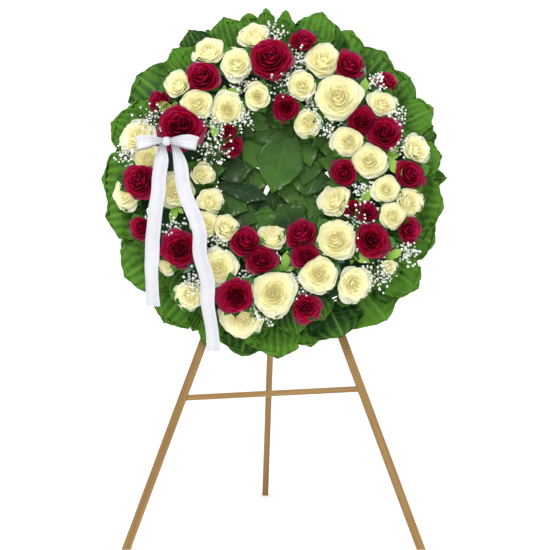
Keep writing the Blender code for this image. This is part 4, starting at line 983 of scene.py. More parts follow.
@dataclass(frozen=True)
class PlainFinish:
    """A plain stuff of two near colours: foam, plastic, brass or stalks."""
    name: str
    first: Colour
    second: Colour
    roughness: float
    scale: float
    height: float = 0.0004
    metallic: float = 0.0

    def material(self) -> bpy.types.Material:
        """Cloudy and fine noise together mix the two colours and roughen the surface."""
        shader = Shader(self.name)
        cloudy = shader.cloud(self.scale, 5.0)
        fine = shader.cloud(self.scale * 9.0, 2.0)
        colour = shader.mix(((cloudy - 0.3) * 1.6 + 0.5 * (fine - 0.5)).clamped(), self.first, self.second)
        return shader.finish(colour, self.roughness + 0.2 * (cloudy - 0.5), fine, self.height,
                             Metallic=self.metallic)


@dataclass(frozen=True)
class SatinFinish:
    """White satin: a fine weave across the ribbon and a selvedge along its edges."""
    name: str
    colour: Colour
    shadow: Colour

    def material(self) -> bpy.types.Material:
        """Threads are sines of the two UV coordinates; the selvedge is duller and a little darker, and
        cloudy patches and lengthwise bands of the shadow colour are painted shade and sheen.
        """
        shader = Shader(self.name)
        across, along = shader.uv()
        weft = (along * 900.0).sine()
        warp = (across * 260.0).sine()
        edge = (across * 2.0 - 1.0).math("ABSOLUTE")
        selvedge = ((edge - 0.90) * 14.0).clamped()
        soft = shader.cloud(30.0, 2.0)
        # Painted sheen: lighter and darker bands that run along the ribbon
        painted_sheen_bands = (across * 9.0 + soft * 2.5).sine()
        # Painted shade: cloudy patches and the sheen bands mix in the shadow colour, and the selvedge
        # darkens towards it too
        painted_shade_and_selvedge = (0.35 * selvedge + 0.9 * (soft - 0.42) + 0.16 * painted_sheen_bands).clamped()
        colour = shader.mix(painted_shade_and_selvedge, self.colour, self.shadow)
        return shader.finish(colour, 0.34 + 0.25 * selvedge, 0.4 * weft + 0.3 * warp, 0.0001,
                             Anisotropic=0.5)


FINISHES = {
    "cream": PetalFinish(
        "cream_petals", heart=(0.97, 0.88, 0.40), body=(0.98, 0.94, 0.54), edge=(0.98, 0.96, 0.68),
        guard=(0.90, 0.92, 0.54), roughness=0.6, through=(1.0, 0.85, 0.5), glow=0.08),
    # The red's heart is a painted shade of the head's depths and its edge a painted highlight; its guard has
    # the heart's dark, so the outer petals darken towards their bases
    "red": PetalFinish(
        "crimson_petals", heart=(0.13, 0.0, 0.014), body=(0.22, 0.001, 0.022), edge=(0.38, 0.005, 0.052),
        guard=(0.13, 0.0, 0.014), roughness=0.45, through=(1.0, 0.2, 0.1)),
    "collar": LeafFinish(
        "collar_leaf", deep=(0.006, 0.036, 0.004), light=(0.082, 0.225, 0.016), vein=(0.18, 0.33, 0.06),
        roughness=0.50, coat=0.03, pleats=3.0, vein_share=0.26),
    "centre": LeafFinish(
        "glossy_leaf", deep=(0.005, 0.032, 0.003), light=(0.048, 0.135, 0.012), vein=(0.10, 0.21, 0.04),
        roughness=0.34, veins=6.0, coat=0.28, vein_share=0.2),
    "rose_leaf": LeafFinish(
        "rose_leaf", deep=(0.018, 0.085, 0.012), light=(0.07, 0.21, 0.03), vein=(0.14, 0.30, 0.07),
        roughness=0.40),
    "light_leaf": LeafFinish(
        "light_leaf", deep=(0.14, 0.33, 0.04), light=(0.34, 0.55, 0.10), vein=(0.48, 0.64, 0.20),
        roughness=0.42, veins=6.0),
    "eucalyptus": LeafFinish(
        "eucalyptus_leaf", deep=(0.05, 0.13, 0.09), light=(0.15, 0.27, 0.20), vein=(0.24, 0.34, 0.26),
        roughness=0.55, veins=5.0),
    "floret": PlainFinish("white_floret", (0.84, 0.86, 0.80), (0.95, 0.95, 0.93), roughness=0.7, scale=90.0),
    "stalk": PlainFinish("green_stalk", (0.05, 0.14, 0.02), (0.13, 0.28, 0.05), roughness=0.5, scale=60.0),
    "foam": PlainFinish("flower_foam", (0.012, 0.055, 0.02), (0.03, 0.12, 0.045), roughness=0.95,
                        scale=160.0, height=0.0012),
    "tray": PlainFinish("ring_plastic", (0.006, 0.035, 0.015), (0.012, 0.055, 0.024), roughness=0.4,
                        scale=30.0),
    "brass": PlainFinish("hinge_brass", (0.55, 0.38, 0.14), (0.68, 0.50, 0.22), roughness=0.35, scale=80.0,
                         height=0.0001, metallic=1.0),
    "satin": SatinFinish("white_satin", colour=(0.62, 0.62, 0.65), shadow=(0.40, 0.42, 0.50)),
}


@dataclass(frozen=True)
class Finishes:
    """Every material of the wreath, made once."""
    cream: bpy.types.Material
    red: bpy.types.Material
    collar: bpy.types.Material
    centre: bpy.types.Material
    rose_leaf: bpy.types.Material
    light_leaf: bpy.types.Material
    eucalyptus: bpy.types.Material
    floret: bpy.types.Material
    stalk: bpy.types.Material
    foam: bpy.types.Material
    tray: bpy.types.Material
    brass: bpy.types.Material
    satin: bpy.types.Material

    @classmethod
    def made(cls) -> "Finishes":
        """The materials of the table."""
        return cls(**{use: finish.material() for use, finish in FINISHES.items()})


# Roses

@dataclass(frozen=True)
class RoseShape:
    """A rose's petals: how many, how far open, the innermost's height, the outermost's drop, and ruffle."""
    petals: int
    spread: float
    height: float
    drop: float
    ruffle: float

    @classmethod
    def of(cls, form: RoseForm) -> "RoseShape":
        """The shape of a form."""
        return {
            OPEN: cls(26, 1.11, 0.60, 0.66, 0.035),
            FULL: cls(34, 1.13, 0.58, 0.68, 0.045),
            CUP: cls(22, 1.04, 0.64, 0.52, 0.03),
            BUD: cls(18, 0.92, 0.70, 0.38, 0.02),
        }[form]


@dataclass
class Rose:
    """One rose's head as petals on a golden spiral."""
    head: Head
    seed: float
    rows: int = 9
    columns: int = 8

    def petals(self) -> tuple[np.ndarray, np.ndarray]:
        """The petals' grids.

        Petal i of n lies at the golden angle times i.  Its edge stands at a radius that grows with i
        and at a height that falls with it; from the neck it bulges out and up to that edge, where it
        curls over.  It wraps round the axis by an angle that shrinks outwards, and its corners are
        rounded by ending it sooner away from its middle.

        Returns:
            The grids, shaped (petals, rows, columns, 3), and each petal's layer from 0 to 1.
        """
        shape = RoseShape.of(self.head.form)
        order = np.arange(shape.petals)
        layer = order / (shape.petals - 1)
        wobble = noise(self.seed, shape.petals)
        turn = (order * GOLDEN_ANGLE + self.seed)[:, None, None]
        layer3 = layer[:, None, None]
        wobble3 = wobble[:, None, None]
        across = np.linspace(-1, 1, self.columns)[None, None, :]
        along = np.linspace(0, 1, self.rows)[None, :, None]
        run = along * (1 - 0.24 * np.abs(across) ** 2.4)
        edge_radius = shape.spread * (0.03 + 0.97 * layer3 ** 1.12) * (0.96 + 0.08 * wobble3)
        edge_height = shape.height - shape.drop * layer3 ** 1.7 + 0.05 * (wobble3 - 0.5)
        neck_radius = 0.05 + 0.16 * layer3
        belly_radius = edge_radius * (1.25 - 0.38 * layer3) + 0.05
        belly_height = -0.16 - 0.16 * layer3
        radius = quadratic(neck_radius, belly_radius, edge_radius, run)
        height = quadratic(NECK_HEIGHT, belly_height, edge_height, run)
        curl = smooth(0.66, 1.0, run) * (layer3 - 0.12) * 0.17
        radius = radius + curl
        height = height - np.abs(curl) * (0.2 + 0.9 * layer3)
        wrap = (1.55 - 0.80 * layer3 ** 0.6) * np.sin(math.pi * (0.13 + 0.60 * run))
        angle = turn + across * wrap
        ripple = shape.ruffle * run ** 3 * np.sin(across * 5.0 + 7.0 * wobble3 + 3 * order[:, None, None])
        radius = radius + ripple
        height = height + 0.8 * ripple + 0.03 * layer3 * np.abs(across) ** 2 * run ** 2
        side, other = self.head.axes()
        size = self.head.radius
        grids = (self.head.middle
                 + size * (radius * np.cos(angle))[..., None] * side
                 + size * (radius * np.sin(angle))[..., None] * other
                 + size * (height * np.ones_like(angle))[..., None] * self.head.facing)
        return grids, layer

    def sepals(self) -> np.ndarray:
        """Five pointed sepals that cup the neck: narrow leaves that run out and back from under the head."""
        side, other = self.head.axes()
        size, facing = self.head.radius, self.head.facing
        neck = self.head.middle - facing * 0.46 * size
        grids = []
        for turn in self.seed + np.arange(5) * 2 * math.pi / 5:
            away = math.cos(turn) * side + math.sin(turn) * other
            tip = neck + away * 0.55 * size + facing * 0.06 * size
            grids.append(leaf(neck, tip, facing, 0.22 * size, bend=-2.0, point=0.7, rows=6, columns=5))
        return np.array(grids)


@dataclass
class RoseSpray:
    """A spray of roses: heads, sepals, stems down to the foam, the leaves on them and small sprigs."""
    node: str
    sprigs: Sequence[Sprig]
    layout: Arrangement
    red: bool
    leaves_each: int = 7
    stem_radius: float = 2.0
    hole: float = 116.0
    rim: float = 352.0

    def build(self, finishes: Finishes) -> None:
        """Make the spray's piece in place of its node.

        Args:
            finishes: The materials of the wreath.
        """
        pile = Surfaces()
        seed = float(sum(map(ord, self.node)) % 97)
        middle = np.mean([head.middle for head in self.layout.of(self.node)], axis=0)
        root = foam_root(middle[0], middle[1], margin=18.0, depth=8.0)
        for number, head in enumerate(self.layout.of(self.node)):
            rose = Rose(head, seed + 2.4 * number)
            grids, layer = rose.petals()
            shade = chance(seed + number) + 0.25 * (noise(seed + 5, len(layer)) - 0.5)
            pile.add(self.layout.press(grids, head), PETAL, layer, shade, thick=PETAL_THICK)
            pile.add(rose.sepals(), LEAF, shade=0.7, thick=LEAF_THICK)
            neck = head.middle - head.facing * 0.44 * head.radius
            elbow = (neck + root) / 2 + 6.0 * FORWARD - head.facing * 8.0
            pile.stem(curve_between(neck, elbow, root), self.stem_radius, STEM)
            self._stem_leaves(pile, head, seed + 3.1 * number)
        for number, sprig in enumerate(self.sprigs):
            add_sprig(pile, sprig, self.layout, SPRIG, seed + number)
        petals = finishes.red if self.red else finishes.cream
        slots = (petals, finishes.rose_leaf, finishes.stalk, finishes.light_leaf)
        hand_over(pile.build(f"{self.node}_bloom", slots), self.node)

    def _stem_leaves(self, pile: Surfaces, head: Head, seed: float) -> None:
        """Leaves that stand out of the stem behind a head and show in the gaps between heads.

        Args:
            pile: Where the surfaces go.
            head: The head.
            seed: A number that varies them.
        """
        lengths, rises, shades = (noise(seed + step, 8) for step in range(3))
        level = max(head.middle[2] - 0.62 * head.radius, FLOOR_OUT + 4.0)
        start = place(head.middle[0], head.middle[1], level)
        for number, turn in enumerate(seed + np.arange(self.leaves_each) * GOLDEN_ANGLE):
            away = place(math.cos(turn), math.sin(turn), 0.0)
            length = head.radius * (1.05 + 0.50 * lengths[number])
            tip = start + away * length + (4.0 + 12.0 * rises[number]) * FORWARD
            if self.hole <= math.hypot(tip[0], tip[1]) <= self.rim:
                grid = leaf(start + away * 4.0, tip, FORWARD, length * 0.52, cut=1.6, bend=4.0, ribs=0.35,
                            fold=2.0, wave=1.2, seed=seed + number, rows=9, columns=7)
                pile.add(grid, LEAF, shade=float(shades[number]), thick=SMALL_LEAF_THICK)


def add_sprig(pile: Surfaces, sprig: Sprig, layout: Arrangement, slot: int, seed: float) -> None:
    """A small pointed leaf with two still smaller ones at its base, lying over the heads' sides.

    Args:
        pile: Where the surfaces go.
        sprig: The leaf.
        layout: The heads that it keeps clear of.
        slot: The material slot.
        seed: A number that varies it.
    """
    turn = math.radians(sprig.heading)
    heading = unit(place(math.sin(turn), math.cos(turn), 0.25))
    middle = layout.push_clear(place(sprig.across, sprig.up, SPRIG_OUT), margin=4.0, share=0.75)[0]
    base = middle - heading * sprig.length * 0.45
    side = unit(np.cross(heading, FORWARD))
    aside = 0.55
    for away, share in ((heading, 1.0), (unit(heading * 0.5 + side), aside),
                        (unit(heading * 0.5 - side), aside)):
        tip = base + away * sprig.length * share
        grid = leaf(base, tip, FORWARD, sprig.length * 0.46 * share, cut=0.8, bend=-3.0, ribs=0.4,
                    fold=2.4 * share, wave=0.8, point=0.5, seed=seed, rows=12, columns=7)
        shade = 0.35 + 0.5 * float(noise(seed, 2)[int(share < 1)])
        pile.add(grid, slot, shade=shade, thick=LEAF_THICK)


# Baby's breath

@dataclass
class FillerSpray:
    """Baby's breath: tufts of small ruffled florets on thin stalks, with eucalyptus leaves."""
    node: str
    tufts: Sequence[Tuft]
    sprigs: Sequence[Sprig]
    layout: Arrangement
    floret_radius: float = 2.8
    crown_out: float = 82.0
    stem_radius: float = 1.1
    stalk_radius: float = 0.45

    def florets(self, middles: np.ndarray, turns: np.ndarray) -> np.ndarray:
        """Ruffled balls: the radius at an azimuth and a latitude swells by two sines of them.

        Args:
            middles: Where the florets are.
            turns: How far each is turned.

        Returns:
            Their grids.
        """
        sides, rows = 8, 5
        azimuth = np.arange(sides)[None, None, :] * 2 * math.pi / sides + turns[:, None, None]
        latitude = np.linspace(-1.5, 1.55, rows)[None, :, None]
        ruffle = 1 + 0.24 * np.cos(4 * (azimuth - turns[:, None, None]) + 9 * latitude)
        ball = self.floret_radius * ruffle * (0.60 + 0.62 * noise(3.0, len(middles)))[:, None, None]
        flat = np.cos(latitude) * ball
        height = 0.7 * np.sin(latitude) * ball
        offsets = np.stack([flat * np.cos(azimuth), flat * np.sin(azimuth), height], axis=-1)
        return middles[:, None, None] + offsets

    def build(self, finishes: Finishes) -> None:
        """Make the spray's piece in place of its node.

        Args:
            finishes: The materials of the wreath.
        """
        pile = Surfaces()
        seed = float(sum(map(ord, self.node)) % 89)
        for number, tuft in enumerate(self.tufts):
            self._tuft(pile, tuft, number, seed)
        for number, sprig in enumerate(self.sprigs):
            add_sprig(pile, sprig, self.layout, EUCALYPTUS, seed + number)
        item = pile.build(f"{self.node}_florets", (finishes.floret, finishes.stalk, finishes.eucalyptus))
        hand_over(item, self.node)

    def _tuft(self, pile: Surfaces, tuft: Tuft, number: int, seed: float) -> None:
        """A tuft: florets on a ragged golden spiral, each on a stalk from the top of one stem.

        Args:
            pile: Where the surfaces go.
            tuft: The tuft.
            number: Its number in the spray.
            seed: A number that varies it.
        """
        count = int(18 + 2.1 * tuft.radius)
        order = np.arange(count)
        turn = order * GOLDEN_ANGLE + seed + number + 1.6 * noise(seed + 2 * number, count)
        ragged = 0.75 + 1.05 * noise(seed - number, count)
        reach = tuft.radius * ragged * ((order + 0.5) / count) ** 0.6
        lift = 3.0 + 17.0 * noise(seed + number, count)
        crown = self.layout.push_clear(place(tuft.across, tuft.up, self.crown_out), 2.5, 0.72)[0]
        middles = crown + np.stack([reach * np.cos(turn), reach * np.sin(turn), lift], axis=-1)
        middles = self.layout.push_clear(middles, self.floret_radius, 0.88)
        pile.add(self.florets(middles, turn), FLORET, around=True)
        root = foam_root(tuft.across, tuft.up, margin=16.0, depth=6.0)
        path = curve_between(root, (root + crown) / 2 + place(4, -4, 0), crown, 5)
        pile.stem(path, self.stem_radius, STALK, sides=5)
        for middle in middles:
            bend = (crown + middle) / 2 + 3.0 * FORWARD
            path = curve_between(crown, bend, middle - 2.0 * FORWARD, 4)
            pile.stem(path, self.stalk_radius, STALK, 0.8, sides=3)


# Leaves

@dataclass
class Collar:
    """The collar of broad leaves on six twigs round the ring's side."""
    leaves: Sequence[tuple[float, float, float, float]] = COLLAR_LEAVES
    sectors: int = 6
    twig_reach: float = 289.0
    twig_out: float = 28.0
    twig_radius: float = 2.2
    layer: float = 13.0
    top_rise: float = 13.0
    pleated: tuple[float, float] = (200.0, 345.0)

    def build(self, finishes: Finishes) -> None:
        """Make one piece for each twig's node.

        Args:
            finishes: The materials of the wreath.
        """
        count = len(self.leaves) // self.sectors
        for sector in range(self.sectors):
            chosen = self.leaves[sector * count:(sector + 1) * count]
            pile = Surfaces()
            self._twig(pile, chosen[0][0], chosen[-1][0])
            for number, (angle, reach, width, cut) in enumerate(chosen, sector * count):
                self._broad(pile, number, angle, reach, width, cut)
                self._skirt(pile, number, angle)
            node = f"collar_leaves_{sector + 1}"
            hand_over(pile.build(f"{node}_fine", (finishes.collar, finishes.stalk)), node)

    def _twig(self, pile: Surfaces, first: float, last: float) -> None:
        """The twig along the ring's side, and its root in the foam.

        Args:
            pile: Where the surfaces go.
            first: The clock angle of its first leaf.
            last: The clock angle of its last leaf.
        """
        turns = np.linspace(first - 0.6, last + 0.6, 24)
        arc = np.array([clock(angle, self.twig_reach, self.twig_out) for angle in turns])
        pile.stem(arc, self.twig_radius, TWIG)
        middle = (first + last) / 2
        root = clock(middle, FOAM_OUTER - 8.0, self.twig_out)
        joint = clock(middle, self.twig_reach, self.twig_out)
        pile.stem(np.linspace(root, joint, 4), self.twig_radius, TWIG)

    def _broad(self, pile: Surfaces, number: int, angle: float, reach: float, width: float,
               cut: float) -> None:
        """A broad leaf and a second one behind it; odd and even leaves lie in two layers.

        Args:
            pile: Where the surfaces go.
            number: The leaf's number round the collar.
            angle: Its clock angle.
            reach: How far from the middle its tip is.
            width: Its width.
            cut: The depth of its torn edge.
        """
        layer = self.layer if number % 2 else -self.layer
        face = clock(angle, -0.12 if layer > 0 else 0.1, 1.0)
        reach = reach + self.top_rise * max(0.0, math.cos(math.radians(angle))) ** 6
        pleat = 2.6 if self.pleated[0] < angle < self.pleated[1] else 1.6
        for turn, drop, share in ((0.0, 0.0, 1.0), (5.5, 5.0, 0.92)):
            lower = clock(angle + turn, self.twig_reach - 1.0, self.twig_out - drop)
            end = clock(angle + turn, reach * (0.5 + 0.5 * share), self.twig_out + layer - drop)
            grid = leaf(lower, end, face, width * 1.12 * share + 10, cut=cut * 1.25, bend=-0.15 * layer,
                        ribs=0.4, fold=2.0, wave=4.5, seed=number + turn, point=0.17,
                        pleats=pleat + 0.25 * (number % 4), pleat=pleat, rows=24, columns=21)
            pile.add(grid, BLADE, shade=chance(number + 0.5 + turn), thick=BROAD_LEAF_THICK)

    @staticmethod
    def _skirt(pile: Surfaces, number: int, angle: float) -> None:
        """A leaf at the collar's foot, which fills the gap between the flowers and the broad leaves.

        Args:
            pile: Where the surfaces go.
            number: The broad leaf's number round the collar.
            angle: Its clock angle.
        """
        base = clock(angle + 6.0, FOAM_OUTER - 14.0, FOAM_FACE + 4.0)
        tip = clock(angle + 4.0, 330.0 + 12.0 * math.sin(number * 1.9), FOAM_FACE - 6.0)
        grid = leaf(base, tip, clock(angle, 0.15, 1.0), 76.0, cut=4.0, bend=-4.0, ribs=0.6, fold=3.0,
                    wave=3.0, seed=number + 0.4)
        pile.add(grid, BLADE, shade=0.5 * chance(number + 7.5), thick=LEAF_THICK)


@dataclass
class CentreLeaves:
    """The leaves across the ring's hole, in their four groups."""
    stem_radius: float = 2.2
    layer_step: float = 1.8
    rim_out: float = 49.0
    rim_step: float = 15.0

    def build(self, finishes: Finishes) -> None:
        """Make one piece for each group's node.

        Args:
            finishes: The materials of the wreath.
        """
        for name, (out, angle, leaves) in CENTRE_LEAVES.items():
            pile = Surfaces()
            knee = clock(angle, FOAM_INNER - 8.0, out - 4.0)
            root = clock(angle, FOAM_INNER + 8.0, out - 4.0)
            pile.stem(np.linspace(root, knee, 4), self.stem_radius, TWIG)
            for index, (start, end, width, cut) in enumerate(leaves + CENTRE_FILLING[name]):
                level = out - self.layer_step * index - (2.0 if index >= len(leaves) else 0.0)
                base, tip = place(*start, level), place(*end, level - 0.5)
                path = curve_between(knee, (knee + base) / 2 + 2.0 * FORWARD, base, 6)
                pile.stem(path, np.linspace(1.7, 1.2, 6), TWIG, 0.6)
                grid = leaf(base, tip, place(0.02 * index, 0.03, 1), width * 1.06, cut=cut * 0.8,
                            bend=0.6, ribs=0.5, fold=2.4, wave=2.2, seed=index + angle, point=0.42,
                            rows=30, columns=17)
                pile.add(grid, BLADE, shade=chance(angle + index), thick=BROAD_LEAF_THICK)
            self._rim(pile, *CENTRE_RIMS[name])
            hand_over(pile.build(f"{name}_fine", (finishes.centre, finishes.stalk)), name)

    def _rim(self, pile: Surfaces, first: float, last: float) -> None:
        """Leaves that lie over the foam's inner edge.

        Args:
            pile: Where the surfaces go.
            first: The clock angle of the first.
            last: The clock angle that they end at.
        """
        for angle in np.arange(first, last + 1, self.rim_step):
            sway = 22.0 * math.sin(angle * 1.7)
            base = clock(angle, FOAM_INNER + 6.0, self.rim_out + 4.0)
            tip = clock(angle + sway, 116.0 + 8.0 * math.sin(angle),
                        self.rim_out + 3.0 * math.sin(angle * 3.1))
            grid = leaf(base, tip, clock(angle, -0.25, 1.0), 40.0, cut=2.5, bend=3.0, ribs=0.5, fold=3.0,
                        wave=2.0, seed=float(angle), rows=18, columns=11)
            pile.add(grid, BLADE, shade=chance(angle + 300.5) * 0.8, thick=LEAF_THICK)


# The ribbon

@dataclass
class Ribbon:
    """A bow of two loops round a knot, and two tails over the flowers."""
    width: float = 31.0
    folds: float = 3.0
    columns: int = 25
    loop_steps: int = 48
    tail_steps: int = 90
    levels: int = 14
    pick_radius: float = 1.4

    def strip(self, path: np.ndarray, widths: np.ndarray, pinch: np.ndarray) -> np.ndarray:
        """A band carried along a path.

        Where the band is pinched to a share of its width, it stands in folds: a cosine across it whose
        height keeps the cloth's length across the band, from slope squared = 2 (1 / share squared - 1).

        Args:
            path: The points along the band's middle.
            widths: The way that the band's width runs at each point.
            pinch: The share of the width that is left at each point.

        Returns:
            The grid of points.
        """
        along = unit(np.gradient(path, axis=0))
        side = unit(widths - along * np.sum(widths * along, axis=1, keepdims=True))
        normal = np.cross(side, along)
        share = np.linspace(-0.5, 0.5, self.columns)[None, :]
        slope = np.sqrt(2 * (1 / np.clip(pinch, 0.2, 1.0) ** 2 - 1))
        height = slope * self.width * pinch / (2 * math.pi * self.folds)
        fold = height[:, None] * np.cos(2 * math.pi * self.folds * share)
        return (path[:, None] + side[:, None] * (share * (self.width * pinch)[:, None])[..., None]
                + normal[:, None] * fold[..., None])

    def loop(self, side: int, length: float, depth: float = 12.0) -> np.ndarray:
        """A loop: out from the knot in front, round, and back to it behind.

        Args:
            side: -1 for the left and 1 for the right.
            length: How far it reaches from the knot.
            depth: How far its front and back stand from its middle.

        Returns:
            Its grid.
        """
        turn = np.linspace(0.18, 2 * math.pi - 0.18, self.loop_steps)
        reach = 0.5 * length * (1 - np.cos(turn))
        out = depth * np.sin(turn) * (0.35 + 0.65 * reach / length)
        sag = 0.10 * reach - 0.0028 * reach ** 2
        path = place(*KNOT) + np.stack([side * reach, sag, out], axis=-1)
        widths = np.stack([0.22 * side * np.sin(turn / 2), np.ones(self.loop_steps), 0.3 * np.cos(turn)],
                          axis=-1)
        return self.strip(path, widths, 0.30 + 0.70 * smooth(0.0, 0.85 * length, reach))

    def tail(self, node: str) -> np.ndarray:
        """A tail: the middle line of the model's own strip, smoothed and let ripple a little.

        At each level the middle is the mean of the strip's points, weighed by a bell of their distance
        from the level.

        Args:
            node: The strip's node.

        Returns:
            Its grid.
        """
        points = from_world(node_points(node))
        points = points[np.argsort(-points[:, 1])]
        levels = np.linspace(points[0, 1], points[-1, 1], self.levels)
        near = np.exp(-((levels[:, None] - points[None, :, 1]) / 14.0) ** 2)
        middle = near @ points / near.sum(axis=1, keepdims=True)
        middle[:, 1] = levels
        part = np.linspace(0, 1, self.tail_steps)
        stops = np.linspace(0, 1, self.levels)
        path = np.stack([np.interp(part, stops, middle[:, axis]) for axis in range(3)], axis=-1)
        for _ in range(30):
            path[1:-1] = 0.5 * path[1:-1] + 0.25 * (path[:-2] + path[2:])
        path[:, 2] += 1.4 * np.sin(part * 26.0) * part
        widths = np.stack([np.cos(0.35 * np.sin(part * 11)), np.zeros(self.tail_steps),
                           0.5 * np.sin(part * 9.0) * part], axis=-1)
        return self.strip(path, widths, 0.36 + 0.64 * smooth(0.0, 0.14, part))

    @staticmethod
    def knot() -> np.ndarray:
        """The knot: a pinched barrel, its radii swelling with the height and ribbed round it."""
        height = np.linspace(-1, 1, 14)[:, None]
        turn = np.arange(28)[None, :] * 2 * math.pi / 28
        ribs = 1 + 0.07 * np.cos(turn * 7 + height * 3)
        swell = np.sqrt(np.clip(1 - np.abs(height) ** 3.2, 0, 1)) * ribs
        grid = np.stack([9.0 * swell * np.cos(turn), 10.0 * height * np.ones_like(turn),
                         -8.0 * swell * np.sin(turn)], axis=-1)
        return grid + place(*KNOT)

    @staticmethod
    def flat_size(grid: np.ndarray) -> tuple[float, float]:
        """A band's flat size: the mean runs across it and along it.

        Args:
            grid: The band's points on the wreath.

        Returns:
            Its width and length in metres.
        """
        world = to_world(grid)
        across = np.linalg.norm(np.diff(world, axis=1), axis=2).sum(axis=1).mean()
        along = np.linalg.norm(np.diff(world, axis=0), axis=2).sum(axis=0).mean()
        return float(across), float(along)

    def build(self, finishes: Finishes) -> None:
        """Make the loops, knot and tails in place of the ribbon's three nodes.

        Args:
            finishes: The materials of the wreath.
        """
        bands = {
            "bow_loop_left": ("ribbon_bow", self.loop(-1, 64.0), "gathered"),
            "bow_loop_right": ("ribbon_bow", self.loop(1, 66.0), "gathered"),
            "bow_tail_left": ("ribbon_tail_left", self.tail("ribbon_tail_left"), "hung"),
            "bow_tail_right": ("ribbon_tail_right", self.tail("ribbon_tail_right"), "hung"),
        }
        pile = Surfaces()
        pile.add(self.knot(), SATIN, around=True)
        pile.stem(np.linspace(PICK_ROOT, KNOT, 6), self.pick_radius, PICK)
        hand_over(pile.build("bow_knot", (finishes.satin, finishes.stalk)), "ribbon_bow")
        for name, (node, grid, held) in bands.items():
            pile = Surfaces()
            pile.add(grid)
            item = pile.build(name, (finishes.satin,))
            hand_over(item, node)


# The easel

@dataclass
class Easel:
    """The easel, foam, tray and hinge, which keep their solids and get finishes.

    Pale and dark are the two colours of the wood's grain.
    """
    pale: Colour = (0.37, 0.215, 0.066)
    dark: Colour = (0.23, 0.122, 0.032)

    def grain_turn(self, node: str) -> tuple[float, float, float]:
        """The turn that lays a lath's length along Z: about Y for its slope, and about X for its lean.

        Args:
            node: The lath's node.

        Returns:
            The turn about each axis in radians.
        """
        points = node_points(node)
        along = Vector(np.linalg.svd(points - points.mean(axis=0), full_matrices=False)[2][0])
        if along.z < 0 or (abs(along.z) < 0.2 and along.x < 0):
            along = -along
        return tuple(along.rotation_difference(Vector((0, 0, 1))).to_euler())

    def build(self, finishes: Finishes) -> None:
        """Give every kept node its finish.

        Args:
            finishes: The materials of the wreath.
        """
        for node in ("front_leg_left", "front_leg_right", "centre_post", "crossbar", "back_leg",
                     "hanging_peg"):
            finish = WoodFinish(f"{node}_wood", self.pale, self.dark, self.grain_turn(node))
            self._assign(node, finish.material())
        for node in ("hinge_upper_leaf", "hinge_lower_leaf", "hinge_pin"):
            self._assign(node, finishes.brass)
        self._assign("foam_ring", finishes.foam)
        self._assign("ring_tray", finishes.tray)

    @staticmethod
    def _assign(node: str, material: bpy.types.Material) -> None:
        """Put a material on a node's slots."""
        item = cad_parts[node]
        if not item.material_slots:
            item.data.materials.append(material)
        for slot in item.material_slots:
            slot.material = material
        LOG.info("%s: %s", node, material.name)


# The studio

@dataclass(frozen=True)
class Lamp:
    """A square area lamp: its place, what it points at, its size in metres and its power in watts."""
    name: str
    spot: tuple[float, float, float]
    aim: tuple[float, float, float]
    size: float
    power: float

    def build(self) -> None:
        """Make the lamp."""
        data = bpy.data.lights.new(self.name, "AREA")
        data.size, data.energy = self.size, self.power
        lamp = linked(bpy.data.objects.new(self.name, data))
        lamp.location = self.spot
        ray = Vector(self.aim) - Vector(self.spot)
        lamp.rotation_euler = ray.to_track_quat("-Z", "Y").to_euler()


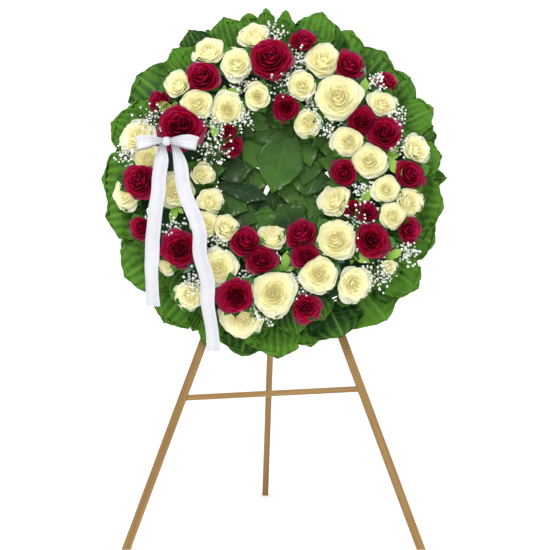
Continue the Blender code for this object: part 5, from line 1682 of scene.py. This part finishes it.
@dataclass(frozen=True)
class Studio:
    """A camera at the photograph's angle, a plain pale sweep and soft light, in metres."""
    spot: tuple[float, float, float] = (0.003, -3.362, 0.768)
    pitch: float = math.radians(3.17)
    lens: float = 94.6
    sensor: float = 36.0
    daylight: float = 0.78
    lamps: tuple[Lamp, ...] = (
        Lamp("key", (-0.9, -2.3, 2.9), (0.0, -0.1, 0.75), 1.1, 55.0),
        Lamp("fill", (2.2, -2.4, 1.5), (0.0, 0.0, 0.7), 2.4, 9.0),
    )
    breadth: float = 60.0
    wall: float = 10.0
    wall_top: float = 14.0
    curve: float = 3.0
    floor_glow: float = 0.28

    def build(self) -> None:
        """Make the camera, sweep and lights."""
        data = bpy.data.cameras.new("camera")
        data.lens, data.sensor_width, data.sensor_fit = self.lens, self.sensor, "HORIZONTAL"
        camera = linked(bpy.data.objects.new("camera", data))
        camera.location = self.spot
        camera.rotation_euler = (math.pi / 2 - self.pitch, 0.0, 0.0)
        bpy.context.scene.camera = camera
        self._sweep()
        for lamp in self.lamps:
            lamp.build()
        world = bpy.data.worlds.new("studio")
        world.use_nodes = True
        background = world.node_tree.nodes["Background"]
        background.inputs["Color"].default_value = (*WHITE, 1.0)
        background.inputs["Strength"].default_value = self.daylight
        bpy.context.scene.world = world
        bpy.context.scene.view_settings.view_transform = "Standard"

    def _sweep(self) -> None:
        """A floor that curves up into a wall: flat, then a quarter circle, then straight up."""
        turn = np.linspace(0, math.pi / 2, 16)
        bend = np.stack([self.wall - self.curve + self.curve * np.sin(turn),
                         self.curve - self.curve * np.cos(turn)], axis=-1)
        profile = np.vstack([[(-self.breadth, 0.0)], bend, [(self.wall, self.wall_top)]])
        sides = np.repeat([[-self.breadth, self.breadth]], len(profile), axis=0)
        points = np.stack([sides, *(np.repeat(column[:, None], 2, axis=1) for column in profile.T)], axis=-1)
        faces = np.arange(len(profile) - 1)[:, None] * 2 + np.array([[0, 1, 3, 2]])
        mesh = bpy.data.meshes.new("floor")
        mesh.from_pydata(points.reshape(-1, 3).tolist(), [], faces.tolist())
        mesh.polygons.foreach_set("use_smooth", np.ones(len(faces), bool))
        mesh.materials.append(Shader("pale_floor").finish(
            PAPER, 0.9, Emission_Strength=self.floor_glow, Emission_Color=WHITE))
        floor = linked(bpy.data.objects.new("floor", mesh))


def main() -> None:
    """Build every class in order.
    """
    logging.basicConfig(level=logging.INFO, format="%(message)s")
    Studio().build()
    finishes = Finishes.made()
    layout = Arrangement()
    for table, red in ((CREAM_SPRAYS, False), (RED_SPRAYS, True)):
        for node, (_, sprigs) in table.items():
            RoseSpray(node, sprigs, layout, red).build(finishes)
    for node, (tufts, sprigs) in FILLERS.items():
        FillerSpray(node, tufts, sprigs, layout).build(finishes)
    Collar().build(finishes)
    CentreLeaves().build(finishes)
    Ribbon().build(finishes)
    Easel().build(finishes)


if __name__ == "__main__":
    main()
